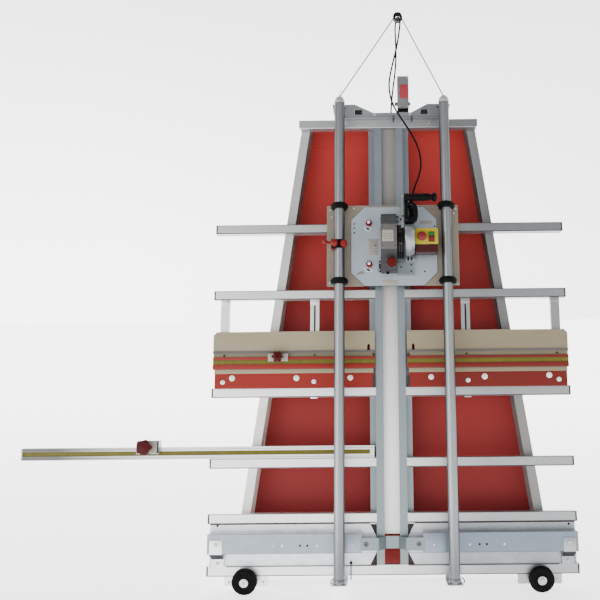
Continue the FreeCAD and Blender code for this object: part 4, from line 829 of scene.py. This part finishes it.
# Painted light: the guard's front face in a lighter grey than the rest of the guard.
block("guard_face", -35.4, 30.4, 210, GUARD_FACE, 1313.5, 1418.5, "guard_grey", "turntable", 0.4)
block("guard_plate", -31, 18, GUARD_FACE, 211.7, 1343, 1395, "plate_bare", "turntable", 0.4)
cells("guard_plate_rim", [(x0, x1, 211.7, 211.9, z0, z1) for x0, x1, z0, z1 in (
    (-31, 18, 1343, 1344.6), (-31, 18, 1393.4, 1395), (-31, -29.6, 1344, 1394), (16.6, 18, 1344, 1394))],
      "guard_dark", "turntable")
cells("guard_plate_lines", [(-24, 12, 211.7, 211.85, z, z + 1.6) for z in (1355, 1362, 1369, 1376)],
      "guard_grey", "turntable")
screws("guard_screws", [(-28, 1408), (24, 1408), (-28, 1326), (24, 1326)], GUARD_FACE, 2.8, "slate",
       "turntable", 1.8)
for index, (front, z) in enumerate(((90, 1474), (150, 1458), (76, 1262), (150, 1290), (190, 1400))):
    lathe("guard_side_screw_%d" % index, at(-36, front, z), "right",
          [(0, -2.4), (3, -2.2), (4, -1), (4, 0), (0, 0)], "slate", "turntable", 24)
block("guard_foot", -47, -36, PLATE_FACE, 64, 1246, 1296, "guard_dark", "turntable", 0.8)
screws("guard_foot_screws", [(-42, 1256), (-42, 1286)], 64, 2.8, "steel", "turntable", 2)
lathe("guard_spring", at(-8, 100, 1239.6), "up", [(0, -9), (5, -9), (6.5, -6), (6.5, 0), (0, 0)],
      "black_rubber", "turntable", 24)
lathe("gear_ring", RING, "right",
      [(50, 31.4), (62, 31.4), (65.2, 34), (65.2, 38), (64, 39), (64, 42), (65.2, 43), (65.2, 47), (64, 48),
       (64, 51), (65.2, 52), (65.2, 59), (63, 62.4), (50, 62.4)], "black_plastic", "turntable", 72)
for index in range(6):
    angle = math.radians(-50 + 38 * index)
    spot = RING + (OUT * math.cos(angle) + UP * math.sin(angle)) * 0.0652
    lathe("gear_boss_%d" % index, spot + RIGHT * 0.036, "right",
          [(0, 0), (3.2, 0), (4, 1.5), (4, 16), (3.2, 18), (0, 18)],
          "guard_dark" if index % 2 else "black_plastic", "turntable", 20)
lathe("motor_shell", SHAFT, "right",
      [(54, 64.4), (60, 64.4), (61.5, 68.4), (65, 68.6), (66.4, 70.4), (66.4, 74), (66, 74.4), (66, 75.2),
       (66.4, 75.6), (66.4, 87), (66, 87.4), (66, 88.2), (66.4, 88.6), (66.4, 92), (62.4, 95.4), (54, 95.4)],
      "cast", "turntable", 80)
lathe("motor_end", SHAFT, "right",
      [(26, 105.1), (52, 105.1), (52, 105.9), (46, 106.6), (30, 106.6), (26, 106.2)], "guard_dark",
      "turntable", 64)
screws("nose_bolts", [(34, 1466), (49, 1456), (36.5, 1446), (56, 1471)], 140, 4.6, "slate", "turntable", 5)
slab("nose_plate", [(31, 1432), (57, 1432), (57, 1474), (45, 1478), (31, 1474)], 138, 140, "zinc_blue",
     "turntable", 0.6)
block("arm_face", 49.4, 63.6, 140, 141.6, 1420, 1565, "cast", "turntable", 1.2)
screws("arm_screws", [(56.5, 1440), (56.5, 1556)], 141.6, 3.6, "steel", "turntable", 2.4)
slab("handle_trigger", [(77.5, 1464), (80.5, 1464), (83, 1476), (82, 1492), (79, 1500), (77.5, 1500)],
     143, 157, "guard_dark", "turntable", 1.2)


def handle_back(z):
    """How far to the right the handle's bowed back lies at a height."""
    return 103.5 + 12 * math.sin(math.pi * (z - 1440) / 96)


for index in range(7):
    z = 1447 + index * 11
    low, high = handle_back(z), handle_back(z + 4)
    slab("handle_rib_%d" % index, [(low, z), (low + 3, z + 1), (high + 3, z + 4), (high, z + 5)], 139, 161,
         "black_rubber", "turntable", 0.8)
screws("handle_screws", [(72, 1446), (92, 1514)], 164, 3.2, "guard_dark", "turntable", 1.6)
# Painted shade: a black patch on the plate where it shows through the handle's opening.
slab("handle_base", [(70, 1462), (104, 1462), (113, 1474), (113, 1522), (104, 1533), (70, 1533)], PLATE_FACE,
     66, "black_plastic", "turntable", 1.5)
for index in range(9):
    lathe("grip_ring_%d" % index, at(86 + index * 9.6, 170, 1543), "right",
          [(13, 0), (16.4, 1.2), (16.8, 3.4), (16.4, 5.6), (13, 6.8)], "black_rubber", "turntable", 40)
BOOT = ((RIGHT * 0.176 + UP * 0.984).normalized(), OUT, (RIGHT * 0.984 - UP * 0.176).normalized())
lathe("cord_boot", at(93.6, 150, 1525.3), BOOT, [(4.2, 0), (8.4, 0), (7.6, 12), (5.6, 26), (4.2, 28)],
      "black_rubber", "turntable", 24)

# Switch box: a yellow hood over the red box, with a bezel and caps for its buttons.
block("switch_hood", 106.6, 203.4, 118, 152.2, 1345, 1414.4, "yellow", "turntable", 3)
cells("switch_seam", [(106.2, 203.8, 117, 152.6, 1343.4, 1344.8)], "dark_line", "turntable", 0.3)
block("switch_bay", 163.5, 188.5, 152.2, 153.4, 1355.5, 1399.5, "box_red", "turntable", 1.2)
lathe("emergency_bezel", at(136, 152.2, 1379), "front",
      [(19.3, 0), (21.8, 0), (21.4, 1.4), (20.4, 2.2), (19.3, 2.2)], "yellow", "turntable", 48)
lathe("emergency_dome", at(136, 162.1, 1379), "front",
      [(0, 0), (16.6, 0), (18.6, 1.8), (18, 4.6), (14, 7.4), (7, 9), (0, 9.4)], "stop_red", "emergency", 48)
block("start_cap", 165.6, 186.6, 162.1, 163.8, 1379.6, 1396.8, "green", "start", 1.6)
block("stop_cap", 165.6, 186.6, 162.1, 163.8, 1358.0, 1375.2, "stop_red", "stop", 1.6)
screws("switch_screws", [(112, 1320), (197, 1320), (112, 1338), (197, 1338)], 150, 2.6, "dark_line",
       "turntable", 1)
lathe("switch_neck", SHAFT + OUT * -0.008, "right",
      [(24.2, 106.8), (27, 106.8), (27, 109), (24.2, 109)], "black_rubber", "turntable", 40)

# Depth screw and bracket.
lathe("depth_cap", at(9, 192.1, 1263), "front",
      [(0, 0), (14, 0), (16, 1), (15, 2.6), (9, 3), (8, 1.2), (0, 1)], "red_plastic", "depth_screw", 40)
lathe("depth_collar", at(9, 158, 1263), "front", [(7.6, 0), (11, 0), (11, 12), (7.6, 12)], "steel",
      "turntable", 32)
cells("bracket_edges", [(33.2, 106.8, 70, 70.5, 1237.4, 1238.6), (105.4, 106.8, 70, 70.5, 1238, 1287)],
      "zinc", "turntable")
screws("bracket_screws", [(50, 1266), (92, 1248), (92, 1276), (100, 1308)], 70, 4.2, "slate",
       "turntable", 2.6)
slab("bracket_lug", [(66, 1290), (114, 1290), (117, 1300), (112, 1316), (66, 1316)], 70, 73, "zinc_blue",
     "turntable", 0.8)
# The lug's slots as dark strips of painted shade.
cells("bracket_slots", [(76, 84, 73, 73.2, 1293, 1309), (90, 98, 73, 73.2, 1293, 1309)],
      "dark_line", "turntable")

# ---------------------------------------------------------------- wheels

TOWARDS = Vector((0, -1, 0))
FLAT = (TOWARDS, RIGHT, Vector((0, 0, 1)))    # a lathe's axes for wheels, which don't lean
WHEEL_RIGHT, WHEEL_RADIUS = 600, 50.8
for word, x in (("left", -WHEEL_RIGHT), ("right", WHEEL_RIGHT)):
    body = "wheel_" + word
    middle = ground(x, 0, WHEEL_RADIUS)
    lathe("hub_face_" + word, middle + TOWARDS * 0.0436, FLAT,
          [(9.2, 0), (17.4, 0), (17.4, 1), (15, 1.8), (12, 1), (9.2, 1)], "steel", body)
    for index, radius in enumerate((25, 34, 43)):
        lathe("tyre_groove_%s_%d" % (word, index), middle + TOWARDS * 0.0434, FLAT,
              [(radius - 1, 0), (radius + 1, 0), (radius + 0.7, 0.6), (radius - 0.7, 0.6)], "black_rubber",
              body, 56)
    lathe("axle_cap_" + word, middle + TOWARDS * 0.0466, FLAT,
          [(0, 0), (8.6, 0), (8.6, 2.2), (7.2, 3.4), (4, 3.4), (3.4, 2.2), (0, 2.2)], "steel", "frame", 32)
    for index, reach in enumerate((-70, 70)):
        lathe("bracket_screw_%s_%d" % (word, index), ground(x + reach, 6, 34), FLAT,
              [(0, 0), (5, 0), (5, 2.4), (4, 3.6), (0, 3.8)], "steel", "frame", 6)

# ---------------------------------------------------------------- behind: panel rivets and stand hinges

BACKWARD = (-OUT, RIGHT, UP)
PANEL_BACK, HINGE_UP, HINGE_RIGHT = -143.6, 1250, 420
# Half the distance between the two rows of rivets at the panel's lower edge and at its upper one.
LOW_HALF, HIGH_HALF, PANEL_HEIGHT = 647, 370.6, 1962
RIVET_START, RIVET_STEP = 60, 222
rivets = []
for side in (-1, 1):
    for index in range(9):
        up = RIVET_START + index * RIVET_STEP
        x = side * (LOW_HALF - (LOW_HALF - HIGH_HALF) / PANEL_HEIGHT * up)
        rivets.append(lathe("rivet", at(x, PANEL_BACK, up), BACKWARD,
                            [(0, 0), (6, 0), (5.4, 1.6), (3, 2.6), (0, 2.8)], "steel", "frame", 16))
join("panel_rivets", rivets)
for word, side in (("left", -1), ("right", 1)):
    for index, x in enumerate((side * HINGE_RIGHT - 24, side * HINGE_RIGHT + 24)):
        lathe("hinge_nut_%s_%d" % (word, index), at(x, -206, HINGE_UP), "right",
              [(0, -2.4), (8.5, -2.4), (9, -1.6), (9, 1.6), (8.5, 2.4), (0, 2.4)], "steel", "frame", 6)
